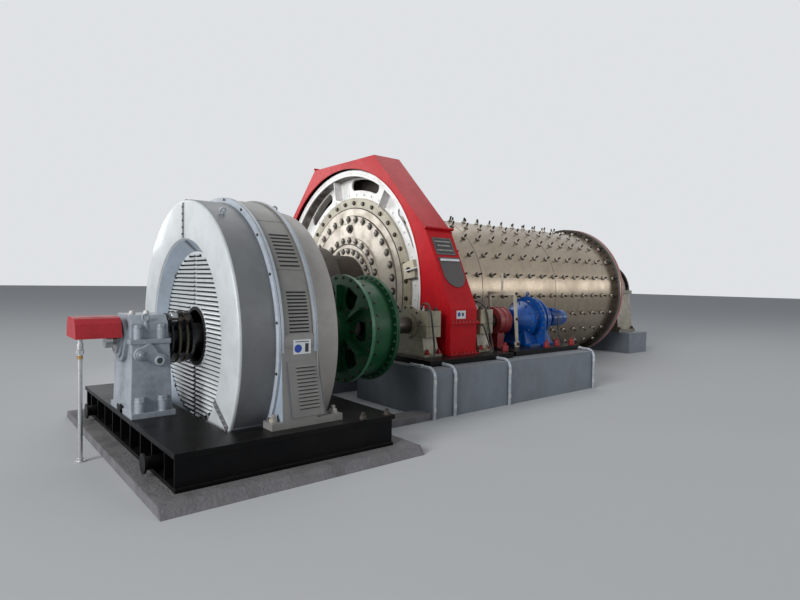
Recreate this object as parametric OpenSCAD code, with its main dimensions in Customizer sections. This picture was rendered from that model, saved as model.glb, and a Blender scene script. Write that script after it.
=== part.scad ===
// Wet overflow ball mill with its slow synchronous motor, clutch, pinion drive and inching drive.
// All sizes in millimetres. X runs along the mill's axis from the motor to the feed end,
// Y across it away from the pinion, Z up. The origin is on the pit floor below the mill's
// axis, in the middle of the drive-end bearing pier.

/* [Levels] */
// Depth of the pit floor below the shop floor
pit_depth = 700; // [690:10:800]
// Height of the mill's axis above the shop floor
mill_axis_h = 1456; // [1440:4:1500]
// Height of the motor's and pinion's axis above the shop floor
drive_axis_h = 1056; // [1050:2:1080]
// Height of the motor pad above the shop floor
pad_h = 80; // [60:5:100]
// How far the motor pad's long sides slope out at the shop floor
pad_skirt = 65; // [40:5:140]
// Width of the curb from the motor pad to the pinion plinth
curb_w = 250; // [200:10:320]
// Height of the pinion plinth and drive pier above the shop floor
plinth_h = 588; // [570:2:600]
// Height of the feed pier above the shop floor
feed_pier_h = 484; // [460:4:520]

/* [Mill] */
// Outside radius of the shell
shell_r = 1360; // [1300:10:1380]
// Thickness of the shell with its liners
shell_t = 70; // [40:5:90]
// X where the far flange of the shell begins
far_flange_x = 7130; // [6800:10:7400]
// Radius of the far flange
far_flange_r = 1470; // [1440:5:1500]
// Radius of the drive-end flange that carries the gear
drive_flange_r = 1575; // [1550:5:1590]
// Radius of both bearing journals
journal_r = 550; // [520:5:560]
// Radius of the overflow opening through the trunnions
throat_r = 400; // [340:5:430]
// Number of bolt holes stated in the drive-end flange
flange_holes = 12; // [8:1:18]

/* [Gear] */
// Gear module
gear_m = 20; // [19:0.5:20]
// Teeth on the girth gear
gear_teeth = 204; // [204:2:204]
// Teeth on the pinion
pinion_teeth = 24; // [24:1:24]
// Face width of the girth gear
gear_face = 340; // [300:10:360]
// Share of the pitch left free as backlash
backlash = 0.05; // [0.04:0.01:0.08]

/* [Gear guard] */
// Thickness of the guard's plate
guard_t = 10; // [6:1:12]
// Clearance between the tips of the gear's teeth and the guard's flat sides
guard_clear = 79; // [70:1:110]
// Width of the guard along the mill
guard_w = 500; // [490:5:540]
// Distance from the pinion's axis to the guard's front face
guard_front_d = 389; // [380:1:395]
// Radius of the guard's round opening on the motor's side
guard_open_r = 2028; // [1990:2:2034]

/* [Motor] */
// Outside radius of the stator's band
stator_r = 1381; // [1360:5:1390]
// Inside radius of the stator
stator_bore_r = 1080; // [1060:5:1100]
// Width of the stator's band
stator_w = 339; // [300:5:360]
// Depth of the front cover
front_cover_d = 353; // [320:5:380]
// Depth of the rear cover
rear_cover_d = 300; // [260:5:320]
// Radius of the front cover's round opening
front_open_r = 965; // [930:5:990]
// Radius of the hole in the middle of the front grille
grille_hole_r = 290; // [270:5:320]
// Length of the motor bed along the shaft
bed_l = 2040; // [2000:10:2080]
// Width of the motor bed
bed_w = 3138; // [3100:2:3200]
// Height of the motor bed
bed_h = 294; // [280:2:300]
// Radius of the motor shaft's journals
shaft_r = 110; // [100:5:120]
// Radius of the slip rings
slip_r = 254; // [240:2:262]

/* [Clutch] */
// Outside radius of the clutch's flanges
clutch_r = 650; // [620:5:670]
// Length of the clutch over its flanges
clutch_l = 384; // [350:2:400]
// Number of windows in the clutch spider
spider_windows = 6; // [5:1:8]

/* [Slow drive] */
// Radius of the red coupling guard
coupling_guard_r = 200; // [180:2:210]
// Radius of the gearbox's large flange
gearbox_r = 368; // [340:4:380]
// Radius of the small motor
inch_motor_r = 125; // [110:5:140]

/* [Hidden] */
$fn = 96;
gap = 0.3;
zf = pit_depth;
zm = zf + mill_axis_h;
zp = zf + drive_axis_h;
cd = gear_m * (gear_teeth + pinion_teeth) / 2;
yp = -sqrt(pow(cd, 2) - pow(mill_axis_h - drive_axis_h, 2));
ztop = zf + plinth_h;
zsole = ztop + 72;
zpad = zf + pad_h;
zbed = zpad + gap + bed_h;
// Stations along X
xs1 = -1929;
xs0 = xs1 - stator_w;
xf0 = xs0 - front_cover_d;
xr1 = xs1 + rear_cover_d;
xg0 = 740;
xg1 = xg0 + guard_w;
xgc = (xg0 + xg1) / 2;
xflange = 941;
xclutch = -346 - clutch_l;
xb0 = -3200;
xb1 = xb0 + bed_l;
yb0 = yp - bed_w / 2;
yb1 = yp + bed_w / 2;
plinth_y0 = yp - 852.4;
plinth_y1 = yp + 684.6;
pocket_w = stator_r - 251;
well_w = stator_r - 119;
xfeed = far_flange_x + 1410;

// Box between two corners
module block(x0, x1, y0, y1, z0, z1)
  translate([x0, y0, z0]) cube([x1 - x0, y1 - y0, z1 - z0]);

// Rod along X
module xrod(r, x0, x1, y = 0, z = 0)
  translate([x0, y, z]) rotate([0, 90, 0]) cylinder(r = r, h = x1 - x0);

// Profile of [radius, x] points turned about an axis along X
module turned(pts, y = 0, z = 0)
  translate([0, y, z]) rotate([0, 90, 0]) rotate_extrude() polygon(pts);

// Outline of [y, z] points run along X
module along_x(pts, x0, x1)
  translate([x0, 0, 0]) rotate([90, 0, 90]) linear_extrude(x1 - x0) polygon(pts);

// Outline of [x, z] points run along Y
module along_y(pts, y0, y1)
  translate([0, y1, 0]) rotate([90, 0, 0]) linear_extrude(y1 - y0) polygon(pts);

// Corner where two edges meet once both are moved inwards by t
function corner(a, b, c, t) =
  let (u = (b - a) / norm(b - a), v = (c - b) / norm(c - b),
       n = [-u[1], u[0]], m = [-v[1], v[0]], k = t / (1 + n * m))
  b + k * (n + m);
function inset(p, t) = [for (i = [0:len(p) - 1])
  corner(p[(i + len(p) - 1) % len(p)], p[i], p[(i + 1) % len(p)], t)];

// Concrete

// Pad with its long sides sloping out to the shop floor, and the low curb that runs on to the plinth
module motor_pad() color("silver") {
  y0 = yb0 - 142;
  y1 = yb1 + 142;
  difference() {
    along_x([[y0 - pad_skirt, 0], [y1 + pad_skirt, 0], [y1 + pad_skirt, zf], [y1, zpad], [y0, zpad],
      [y0 - pad_skirt, zf]], xb0 - 155, xb1 + 200);
    block(xf0 - 70, xr1 + 70, yp - pocket_w, yp + pocket_w, zp - stator_r - 75, zpad + 1);
  }
  block(xb1 + 190, -gap, plinth_y0, plinth_y0 + curb_w, 0, zpad);
}

module pinion_plinth() color("gray") difference() {
  block(0, 3480, plinth_y0, plinth_y1, 0, ztop);
  block(xg0 - 30, xg1 + 30, -guard_apothem - 47, plinth_y1 + 60, -1, ztop + 1);
}

module drive_pier() color("gray") block(-520, 520, -1150, 1150, 0, ztop);

module feed_pier() color("silver") block(xfeed - 420, xfeed + 420, -1228, 1228, 0, zf + feed_pier_h);

// Motor

module bed_hole(z0, z1) block(xf0 - 60, xr1 + 60, yp - well_w, yp + well_w, z0, z1);

module motor_bed() color("black") {
  z0 = zpad + gap;
  difference() {
    union() {
      block(xb0, xb1, yb0, yb1, zbed - 40, zbed);
      block(xb0 + 10, xb1 - 10, yb0 + 10, yb1 - 10, z0, z0 + 30);
      difference() {
        block(xb0 + 200, xb1 - 200, yb0 + 30, yb1 - 30, z0 + 20, zbed - 30);
        block(xb0 + 216, xb1 - 216, yb0 + 46, yb1 - 46, z0 + 10, zbed - 20);
      }
      difference() {
        block(xf0 - 76, xr1 + 76, yp - well_w - 16, yp + well_w + 16, z0 + 20, zbed - 30);
        block(xf0 - 61, xr1 + 61, yp - well_w - 1, yp + well_w + 1, z0 + 10, zbed - 20);
      }
      for (x = [xb0 + 12, xb1 - 210]) {
        for (i = [-4:4]) block(x, x + 198, yp + i * 325 - 8, yp + i * 325 + 8, z0 + 20, zbed - 30);
        for (y = [yb0 + 30, yb1 - 46]) block(x, x + 198, y, y + 16, z0 + 20, zbed - 30);
      }
    }
    bed_hole(z0 - 1, zbed + 1);
  }
  for (y = [yp - 1070, yp + 1070]) {
    xrod(55, xb0 - 70, xb0 + 205, y, zf + 190);
    xrod(80, xb0 - 84, xb0 - 68, y, zf + 190);
    xrod(55, xb1 - 205, xb1 + 70, y, zf + 190);
    xrod(80, xb1 + 68, xb1 + 84, y, zf + 190);
  }
}

module stator_frame() color("lightgray") {
  turned([[stator_bore_r, xs0], [stator_r + 20, xs0], [stator_r + 20, xs0 + 24], [stator_r, xs0 + 24],
    [stator_r, xs1 - 24], [stator_r + 20, xs1 - 24], [stator_r + 20, xs1], [stator_bore_r, xs1]], yp, zp);
  for (s = [-1, 1]) difference() {
    along_x([[yp + s * (stator_r - 60), zp], [yp + s * (stator_r + 20), zp],
      [yp + s * (bed_w / 2 - 131), zbed + gap], [yp + s * (well_w + 8), zbed + gap]], xs0 - 100, xs1 + 260);
    xrod(stator_r - 10, xs0 - 101, xs1 + 261, yp, zp);
    block(xs0 - 101, xs0, yp - 2000, yp + 2000, zbed + 60, zp + 10);
    block(xs1, xs1 + 261, yp - 2000, yp + 2000, zbed + 60, zp + 10);
  }
}

module front_cover() color("whitesmoke")
  turned([[stator_r - 36, xs0 - gap], [stator_r - 36, xf0 + 22], [stator_r - 53, xf0],
    [front_open_r, xf0], [850, xf0 + 128], [850, xf0 + 140], [862, xf0 + 140], [974, xf0 + 11],
    [stator_r - 64, xf0 + 11], [stator_r - 46, xf0 + 27], [stator_r - 46, xs0 - gap]], yp, zp);

// Round grille of flat slots in two columns
module grille(r, x, hole) difference() {
  xrod(r, x, x + 8, yp, zp);
  xrod(hole, x - 1, x + 9, yp, zp);
  for (i = [-10:2:10]) for (s = [-1, 1]) {
    z = i * 68;
    w = sqrt(pow(r - 60, 2) - pow(z, 2));
    y0 = abs(z) < hole + 40 ? sqrt(pow(hole + 50, 2) - pow(min(abs(z), hole + 49), 2)) + 20 : 20;
    translate([x - 1, yp + (s > 0 ? y0 : -w), zp + z - 14]) cube([10, w - y0, 28]);
  }
}

module front_grille() color("silver") grille(849.5, xf0 + 130, grille_hole_r);

module rear_cover() color("gray") difference() {
  turned([[stator_r - 36, xs1 + gap], [stator_r - 78, xr1 - 16], [stator_r - 94, xr1], [300, xr1],
    [300, xr1 - 12], [stator_r - 100, xr1 - 12], [stator_r - 90, xr1 - 24], [stator_r - 48, xs1 + gap]], yp, zp);
  for (i = [0:5]) rotate_about(i * 60 + 30) translate([xr1 - 20, -150, 560]) cube([30, 300, 220]);
}

// Turns its children about the motor's axis
module rotate_about(a) translate([0, yp, zp]) rotate([a, 0, 0]) children();

// Casting with a taper both ways, standing from z0 to z1
module taper_body(x0, x1, dx, y, w0, w1, z0, z1) intersection() {
  along_y([[x0, z0], [x1, z0], [x1 - dx, z1], [x0 + dx, z1]], y - w0 - 1, y + w0 + 1);
  along_x([[y - w0, z0], [y + w0, z0], [y + w1, z1], [y - w1, z1]], x0 - 1, x1 + 1);
}

module front_pedestal() color("lightslategray") {
  z0 = zbed + gap;
  difference() {
    union() {
      block(xb0 + 10, xb0 + 390, yp - 385, yp + 385, z0, z0 + 50);
      taper_body(xb0 + 20, xb0 + 375, 15, yp, 325, 300, z0 + 40, zp);
      block(xb0 + 20, xb0 + 370, yp - 312, yp + 312, zp - 22, zp + 22);
      difference() {
        block(xb0 + 36, xb0 + 354, yp - 272, yp + 272, zp, zp + 236);
        for (s = [-1, 1]) translate([xb0, yp + s * 272, zp + 236]) rotate([s * -45, 0, 0])
          translate([0, -100, -50]) cube([400, 200, 100]);
      }
      for (s = [-1, 1]) for (x = [xb0 + 95, xb0 + 295]) {
        translate([x, yp + s * 334, z0 + 40]) cylinder(r = 46, h = 105);
        translate([x, yp + s * 268, zp + 10]) cylinder(r = 40, h = 110);
      }
      xrod(205, xb0 - 4, xb0 + 40, yp, zp);
      xrod(165, xb0 - 24, xb0 + 40, yp, zp);
      xrod(125, xb0 - 44, xb0 + 40, yp, zp);
      xrod(185, xb0 + 340, xb0 + 386, yp, zp);
    }
    xrod(shaft_r + 1, xb0 - 60, xb0 + 500, yp, zp);
    block(xb0 - 10, xb0 + 60, yp - 70, yp + 70, z0 - 1, z0 + 70);
  }
}

module rear_pedestal() color("lightslategray") {
  z0 = zbed + gap;
  x0 = xr1 + 80;
  difference() {
    union() {
      block(x0 + 10, x0 + 370, yp - 385, yp + 385, z0, z0 + 50);
      taper_body(x0 + 20, x0 + 355, 15, yp, 360, 300, z0 + 40, zp);
      block(x0 + 20, x0 + 350, yp - 305, yp + 305, zp - 22, zp + 22);
      block(x0 + 36, x0 + 334, yp - 250, yp + 250, zp, zp + 236);
      xrod(180, x0, x0 + 370, yp, zp);
    }
    xrod(shaft_r + 21, x0 - 60, x0 + 500, yp, zp);
  }
}

module brush_gear() color("dimgray") {
  x0 = xb0 + 386 + gap;
  for (a = [40, 140]) rotate_about(a) {
    translate([x0, 300, 0]) rotate([0, 90, 0]) cylinder(r = 12, h = 186);
    for (x = [x0 + 75, x0 + 146]) translate([x, slip_r + 6, -26]) cube([30, 50, 52]);
    translate([x0, 148, -18]) cube([14, 170, 36]);
  }
}

module air_union_guard() color("firebrick") {
  x0 = xb0 - 393;
  x1 = xb0 - 24 - gap;
  outline = [[yp - 217, zp + 38], [yp + 217, zp + 38], [yp + 188, zp + 168], [yp + 150, zp + 210],
    [yp + 95, zp + 222], [yp - 95, zp + 222], [yp - 150, zp + 210], [yp - 188, zp + 168]];
  difference() {
    along_x(outline, x0, x1);
    along_x(inset(outline, 5), x0 + 5, x1 - 6);
    block(x0 + 5, x1 - 6, yp - 211, yp + 211, zp, zp + 44);
    xrod(131, x1 - 7, x1 + 1, yp, zp);
  }
}

module air_supply_pipe() color("silver") {
  x = xb0 - 338;
  y = yp - 95;
  z = zp + 100;
  translate([x, y, zf]) cylinder(r = 19, h = z - zf);
  translate([x, y, zp - 40]) cylinder(r = 27, h = 34);
  xrod(19, x - 19, xb0 - 78, y, z);
  translate([xb0 - 97, y, z]) rotate([-90, 0, 0]) translate([0, 0, -19]) cylinder(r = 18, h = yp - y + 37);
  translate([xb0 - 97, yp, zp]) cylinder(r = 17, h = 216.7);
  xrod(70, xb0 - 124, xb0 - 67, yp, zp);
}

// Gear guard

guard_apothem = gear_m * (gear_teeth / 2 + 0.95) + guard_clear;
gk = guard_apothem / 2138;
yfg = yp - guard_front_d;
guard_2d = [[2138, 886] * gk, [886, 2138] * gk, [-886, 2138] * gk, [-2095, 926] * gk, [yfg, -172],
  [yfg, zsole + gap - zm], [-guard_apothem, zsole + gap - zm], [-2138, -886] * gk, [-886, -2138] * gk,
  [886, -2138] * gk, [2138, -886] * gk];
slope = atan((guard_2d[3][1] - guard_2d[4][1]) / (guard_2d[3][0] - guard_2d[4][0]));
door = guard_2d[3] * 0.441 + guard_2d[4] * 0.559;

module guard_body() translate([0, 0, zm]) difference() {
  along_x(guard_2d, xg0, xg1);
  along_x(inset(guard_2d, guard_t), xg0 + guard_t, xg1 - guard_t);
  xrod(guard_open_r, xg0 - 1, xg0 + guard_t + 1, $fn = 360);
  xrod(1650, xg1 - guard_t - 1, xg1 + 1, $fn = 360);
  xrod(140, xg0 - 1, xg1 + 1, yp, zp - zm);
}

// The part of the guard inside an outline about the mill's axis
module guard_slice(pts) intersection() {
  guard_body();
  translate([0, 0, zm]) along_x(pts, xg0 - 50, xg1 + 50);
}
zs1 = zp + 30 - zm;
zs2 = zsole + gap - zm;

module guard_top() color("crimson") {
  guard_slice([[0, 0], [886 * 2, 2138 * 2], [-886 * 2, 2138 * 2.5], [-2095 * 2, 926 * 2]]);
  translate([0, 0, zm]) rotate([-atan(926 / 2095), 0, 0])
    block(xg0 - 25, xg1 + 25, -gk * 2290 - 45, -gk * 2290 + 14, 0, 12);
  translate([0, 0, zm]) rotate([-90 + atan(2138 / 886), 0, 0])
    block(xg0 - 10, xg1 + 10, -12, 0, gk * 2306, gk * 2314 + 40);
}

module guard_front() color("crimson") {
  guard_slice([[0, 0], [-2095 * 2, 926 * 2], [-5000, 0], [-5000, zs1], [0, zs1]]);
  translate([0, 0, zm]) rotate([-atan(926 / 2095), 0, 0])
    block(xg0 - 25, xg1 + 25, -gk * 2290 - 45, -gk * 2290 + 2, -12, 0);
  translate([0, 0, zm]) block(xg0 - 30, xg1 + 30, yfg - 42, yfg + 4, zs1, zs1 + 12);
}

module guard_sump() color("firebrick") {
  guard_slice([[-5000, zs1], [-5000, zs2 - 1], [-guard_apothem - 20, zs2 - 1], [-guard_apothem - 20, zs2 + gap],
    [-1000, zs2 + gap], [-1000, zs1]]);
  translate([0, 0, zm]) block(xg0 - 30, xg1 + 30, yfg - 42, yfg + 4, zs1 - 12, zs1);
  translate([0, 0, zm]) block(xg0 - 30, xg1 + 30, yfg - 42, yfg + 4, zs2, zs2 + 12);
}

module guard_rear() color("crimson")
  guard_slice([[0, 0], [0, zs2], [5000, zs2], [5000, 5000], [886 * 2.2, 2138 * 2.2]]);

module guard_pit() color("firebrick")
  guard_slice([[yfg, zs2 - gap], [yfg, -5000], [5000, -5000], [5000, zs2 - gap]]);

module inspection_cover() color("crimson") translate([xgc + 14, door[0], zm + door[1]])
  rotate([slope, 0, 0]) translate([0, 0, gap]) {
    intersection() {
      translate([0, -34, 0]) cylinder(r = 194, h = 12);
      translate([-200, -300, -1]) cube([400, 300, 20]);
    }
    translate([-194, -34, 0]) cube([388, 226, 12]);
    translate([-194, 192, 0]) cube([388, 36, 18]);
  }

// Pinion drive

module pinion_sole_plate() color("black") difference() {
  block(150, 1750, yp - 645, yp + 385, ztop + gap, zsole);
  block(xg0 - 30, xg1 + 30, -guard_apothem - 47, yp + 445, ztop, zsole + 1);
}

module slow_drive_base() color("black") difference() {
  block(1860, 3440, yp - 595, yp + 545, ztop + gap, zsole);
  block(1900, 3400, yp - 555, yp + 505, ztop - 1, zsole - 16);
}

module pinion_bearing(xc) color("darkkhaki") difference() {
  union() {
    taper_body(xc - 135, xc + 135, 20, yp, 330, 250, zsole + gap, zp - 60);
    block(xc - 125, xc + 125, yp - 355, yp + 355, zp - 140, zp + 200);
    block(xc - 150, xc + 150, yp - 360, yp + 160, zsole + gap, zsole + 36);
    xrod(165, xc - 160, xc + 160, yp, zp);
  }
  xrod(shaft_r + 1, xc - 400, xc + 400, yp, zp);
}

module near_pinion_bearing() pinion_bearing(xgc - 525);

module far_pinion_bearing() pinion_bearing(xgc + 505);

module coupling_guard() color("darkred") difference() {
  union() {
    xrod(coupling_guard_r, 1985, 2250, yp, zp);
    block(2050, 2190, yp - 90, yp + 90, zsole + gap, zp - coupling_guard_r + 25);
    block(2010, 2225, yp - 130, yp + 130, zsole + gap, zsole + 25);
  }
  xrod(coupling_guard_r - 6, 1991, 2251, yp, zp);
  xrod(shaft_r + 12, 1900, 2420, yp, zp);
}

module slow_drive_gearbox() color("royalblue") {
  turned([[0, 2210], [110, 2210], [110, 2290], [70, 2300], [70, 2440], [165, 2450], [190, 2500], [255, 2640],
    [290, 2700], [290, 2840], [gearbox_r, 2850], [gearbox_r, 2884], [gearbox_r - 38, 2886],
    [gearbox_r - 38, 2960], [gearbox_r - 18, 2962], [gearbox_r - 18, 2992], [250, 2996], [270, 3130],
    [270, 3160], [170, 3162], [150, 3260], [0, 3260]], yp, zp);
  difference() {
    block(2850, 2884, yp - gearbox_r, yp + gearbox_r, zsole + gap, zp);
    block(2840, 2890, yp - 150, yp + 150, zsole - 1, zsole + 90);
  }
  taper_body(2560, 2852, 30, yp, 250, 150, zsole + gap, zp - 120);
  taper_body(3020, 3150, 10, yp, 300, 200, zsole + gap, zp - 150);
  block(2540, 3200, yp - 330, yp + 330, zsole + gap, zsole + 34);
}

module slow_drive_motor() color("royalblue") {
  turned([[0, 3260 + gap], [inch_motor_r + 25, 3260 + gap], [inch_motor_r + 25, 3280], [inch_motor_r - 25, 3290],
    [inch_motor_r - 25, 3420], [inch_motor_r, 3430], [inch_motor_r, 3700], [inch_motor_r + 6, 3706],
    [inch_motor_r + 6, 3800], [inch_motor_r - 14, 3828], [0, 3828]], yp, zp);
  block(3480, 3600, yp - 55, yp + 55, zp + inch_motor_r - 25, zp + inch_motor_r + 45);
}

module engaging_lever() color("tan") {
  z = zf + 1478;
  translate([2235, yp, z]) cylinder(r = 16, h = 306);
  block(2212, 2258, yp - 274, yp + 274, z - 21, z + 21);
  for (s = [-1, 1]) {
    translate([2235, yp + s * 250, z]) rotate([0, -6, 0]) translate([-26, -12, -770]) cube([52, 24, 770]);
    translate([2316, yp + s * 250 + 19, z - 766]) rotate([90, 0, 0]) cylinder(r = 42, h = 38);
    block(2286, 2346, yp + s * 250 - 19, yp + s * 250 + 19, zsole + gap, z - 766);
  }
}

// Main bearings

module main_bearing(xc, zb) color("darkkhaki") difference() {
  union() {
    taper_body(xc - 340, xc + 340, 20, 0, 900, 800, zb + gap, zm);
    block(xc - 330, xc + 330, -860, 860, zm - 40, zm + 40);
    xrod(705, xc - 310, xc + 310, 0, zm);
    block(xc - 380, xc + 380, -950, 950, zb + gap, zb + 60);
  }
  xrod(journal_r + 1, xc - 400, xc + 400, 0, zm);
}

module drive_bearing() main_bearing(0, ztop);

module feed_bearing() main_bearing(xfeed, zf + feed_pier_h);

module cable_conduits() color("gainsboro") for (x = [14, 358, 1393, 3440]) {
  y = plinth_y0 - gap - 21;
  z = ztop + gap + 21;
  translate([x, y, zf]) cylinder(r = 21, h = z - zf);
  translate([x, y, z]) sphere(r = 21);
  translate([x, y, z]) rotate([-90, 0, 0]) cylinder(r = 21, h = 225);
}

// Mill body

module mill_shell() color("tan")
  turned([[shell_r - shell_t, 1012], [drive_flange_r, 1012], [drive_flange_r, 1060], [shell_r, 1060],
    [shell_r, far_flange_x], [far_flange_r, far_flange_x], [far_flange_r, far_flange_x + 110],
    [shell_r - shell_t, far_flange_x + 110]], 0, zm);

module drive_head() color("khaki") difference() {
  turned([[throat_r, -620], [journal_r + 40, -620], [journal_r + 40, -400], [journal_r, -400],
    [journal_r, 420], [journal_r + 36, 420], [journal_r + 36, 850], [710, 850], [710, 872], [790, 872],
    [790, 862], [913, 862], [913, 890], [1147, 905], [1147, 896], [1267, 896], [1267, 925], [1394, 930],
    [1394, 960], [1403, 960], [1403, xflange], [drive_flange_r, xflange], [drive_flange_r, 981],
    [1280, 981], [1280, 1010], [throat_r, 960]], 0, zm);
  for (i = [0:flange_holes - 1]) translate([0, 0, zm]) rotate([i * 360 / flange_holes + 3, 0, 0])
    translate([xflange - 1, drive_flange_r - 89, 0]) rotate([0, 90, 0]) cylinder(r = 20, h = 60);
}

module gear_web() color("white") difference() {
  translate([0, 0, zm]) difference() {
    union() {
      xrod(gear_in_r - gap, 981.3, 1011.7);
      difference() {
        xrod(gear_in_r - gap, xrim0, xrim0 + gear_face);
        xrod(gear_in_r - 40, xrim0 - 1, xrim0 + gear_face + 1);
      }
      for (i = [0:7]) rotate([-split_a - i * 45, 0, 0])
        translate([xrim0 + 30, -gear_in_r + 20, -8]) cube([1000 - xrim0 - 30, gear_in_r - drive_flange_r - 45, 16]);
    }
    xrod(1285, 900, 1100);
    for (i = [0:7]) rotate([-split_a - 22.5 - i * 45, 0, 0]) {
      for (b = [-9.5, 9.5]) rotate([b, 0, 0])
        translate([975, -1795, 0]) rotate([0, 90, 0]) cylinder(r = 94.5, h = 50);
      intersection() {
        difference() {
          xrod(1887, 975, 1025);
          xrod(1703, 974, 1026);
        }
        along_x([[0, 0], [-2500 * cos(9.5), -2500 * sin(9.5)], [-2500 * cos(9.5), 2500 * sin(9.5)]], 970, 1030);
      }
    }
  }
}

// Girth gear and pinion teeth

rg = gear_m * gear_teeth / 2;
rp = gear_m * pinion_teeth / 2;
gear_in_r = rg - 85;
xrim0 = xgc - 20 - gear_face / 2;
// Polar angle of the pinion seen from the mill's axis, in the Y-Z plane
pa = 180 + atan((mill_axis_h - drive_axis_h) / -yp);
split_a = -(pa - 12.5 * 360 / gear_teeth - 180);
function inv(x) = tan(x) * 180 / PI - x;
// Half the angle a tooth takes up at radius r, for pitch radius q and n teeth
function half_tooth(r, q, n) =
  let (b = q * cos(20), c = r <= b ? 0 : acos(b / r))
  90 / n * (1 - backlash) + inv(20) - inv(c);
function tooth(a, q, n) = let (r0 = q - 1.25 * gear_m, r1 = q - 0.45 * gear_m, r2 = q + 0.15 * gear_m,
    r3 = q + 0.6 * gear_m, r4 = q + 0.95 * gear_m)
  [for (s = [-1, 1]) for (r = s < 0 ? [r0, r1, r2, r3, r4] : [r4, r3, r2, r1, r0])
    let (t = a + s * half_tooth(max(r, r0 + 2), q, n)) [r * cos(t), r * sin(t)]];
function flat2(p) = [for (q = p) for (r = q) r];

module rim_half(a0) translate([0, 0, zm]) {
  n = gear_teeth / 2;
  st = 360 / gear_teeth;
  outer = flat2([for (i = [0:n - 1]) tooth(a0 + (i + 0.5) * st, rg, gear_teeth)]);
  k = gear_in_r / cos(180 / 36);
  inner = [for (i = [18:-1:0]) [k * cos(a0 + i * 10), k * sin(a0 + i * 10)]];
  first = [[(rg - 25) * cos(a0), (rg - 25) * sin(a0)]];
  last = [[(rg - 25) * cos(a0 + 180), (rg - 25) * sin(a0 + 180)]];
  along_x(concat(first, outer, last, inner), xrim0, xrim0 + gear_face);
}

module gear_rim_a() color("dimgray") rim_half(pa - 12.5 * 360 / gear_teeth);

module gear_rim_b() color("dimgray") rim_half(pa - 12.5 * 360 / gear_teeth + 180);

module pinion() color("dimgray") translate([0, yp, zp]) difference() {
  st = 360 / pinion_teeth;
  along_x(flat2([for (i = [0:pinion_teeth - 1]) tooth(pa + 180 + (i + 0.5) * st, rp, pinion_teeth)]),
    xrim0 - 10, xrim0 + gear_face + 10);
  along_x([for (i = [0:11]) [(shaft_r + 20.3) / cos(15) * cos(i * 30), (shaft_r + 20.3) / cos(15) * sin(i * 30)]],
    xrim0 - 11, xrim0 + gear_face + 11);
}

module feed_head() color("dimgray")
  turned([[throat_r, far_flange_x + 160], [1250, far_flange_x + 110.3], [far_flange_r, far_flange_x + 110.3],
    [far_flange_r, far_flange_x + 190], [1270, far_flange_x + 190], [journal_r + 80, far_flange_x + 560],
    [journal_r + 36, far_flange_x + 600], [journal_r + 36, xfeed - 430], [journal_r, xfeed - 430],
    [journal_r, xfeed + 400], [throat_r, xfeed + 400]], 0, zm);

module feed_collar() color("dimgray")
  turned([[throat_r, xfeed + 400.3], [740, xfeed + 400.3], [740, xfeed + 440], [500, xfeed + 440],
    [500, xfeed + 560], [throat_r, xfeed + 560]], 0, zm);

// Pinion body

module pinion_shaft() color("silver") difference() {
  union() {
    xrod(shaft_r - 10, -520, 100, yp, zp);
    xrod(shaft_r, 90, 2190, yp, zp);
    xrod(shaft_r + 20, xrim0 - 60, xrim0 + gear_face + 60, yp, zp);
    xrod(165, 2020, 2190, yp, zp);
  }
  xrod(40, 2170, 2191, yp, zp);
}

module clutch_drum() color("darkgreen") difference() {
  union() {
    xrod(500, xclutch + 60, -420, yp, zp);
    xrod(190, -450, -200, yp, zp);
  }
  xrod(470, xclutch + 50, -460, yp, zp);
  xrod(shaft_r - 10 + gap, -521, 0, yp, zp);
}

// Motor rotor

module motor_shaft() color("silver") {
  xrod(45, xb0 - 62, xb0 - 30, yp, zp);
  xrod(shaft_r, xb0 - 40, xb0 + 400, yp, zp);
  xrod(shaft_r + 20, xb0 + 390, xclutch - 80, yp, zp);
}

module rotor_wheel() color("dimgray") difference() {
  union() {
    xrod(1000, xs0 + 20, xs1 - 20, yp, zp);
    xrod(260, xs0 - 40, xs1 + 60, yp, zp);
  }
  for (x = [xs0 + 19, xs1 - 120]) difference() {
    xrod(820, x, x + 101, yp, zp);
    xrod(260, x - 1, x + 102, yp, zp);
  }
  xrod(shaft_r + 20 + gap, xs0 - 41, xs1 + 61, yp, zp);
}

module slip_rings() color("black") difference() {
  x0 = xb0 + 400;
  union() {
    xrod(165, x0 + 8, x0 + 250, yp, zp);
    xrod(slip_r - 20, x0 + 8, x0 + 26, yp, zp);
    xrod(slip_r, x0 + 64, x0 + 88, yp, zp);
    xrod(slip_r, x0 + 135, x0 + 159, yp, zp);
    xrod(slip_r - 12, x0 + 196, x0 + 220, yp, zp);
  }
  xrod(shaft_r + 20 + gap, x0 - 1, x0 + 251, yp, zp);
}

module clutch_spider() color("seagreen") difference() {
  union() {
    xrod(clutch_r, xclutch - 24, xclutch, yp, zp);
    xrod(220, xclutch - 160, xclutch, yp, zp);
    for (i = [0:spider_windows - 1]) rotate_about((i + 0.5) * 360 / spider_windows)
      translate([xclutch - 90, 200, -14]) cube([80, 330, 28]);
  }
  for (i = [0:spider_windows - 1]) rotate_about(i * 360 / spider_windows) {
    translate([xclutch - 25, 400, 0]) rotate([0, 90, 0]) cylinder(r = 118, h = 26);
    translate([xclutch - 25, 0, 0]) rotate([0, 0, 0]) translate([0, 395, -112]) cube([26, 128, 224]);
  }
  xrod(shaft_r + 20 + gap, xclutch - 161, xclutch + 1, yp, zp);
}

module clutch_rim() color("seagreen")
  turned([[clutch_r - 75, xclutch + gap], [clutch_r, xclutch + gap], [clutch_r, xclutch + 24],
    [clutch_r - 60, xclutch + 24], [clutch_r - 60, xclutch + clutch_l - 50], [clutch_r, xclutch + clutch_l - 50],
    [clutch_r, xclutch + clutch_l], [clutch_r - 75, xclutch + clutch_l]], yp, zp);

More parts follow.
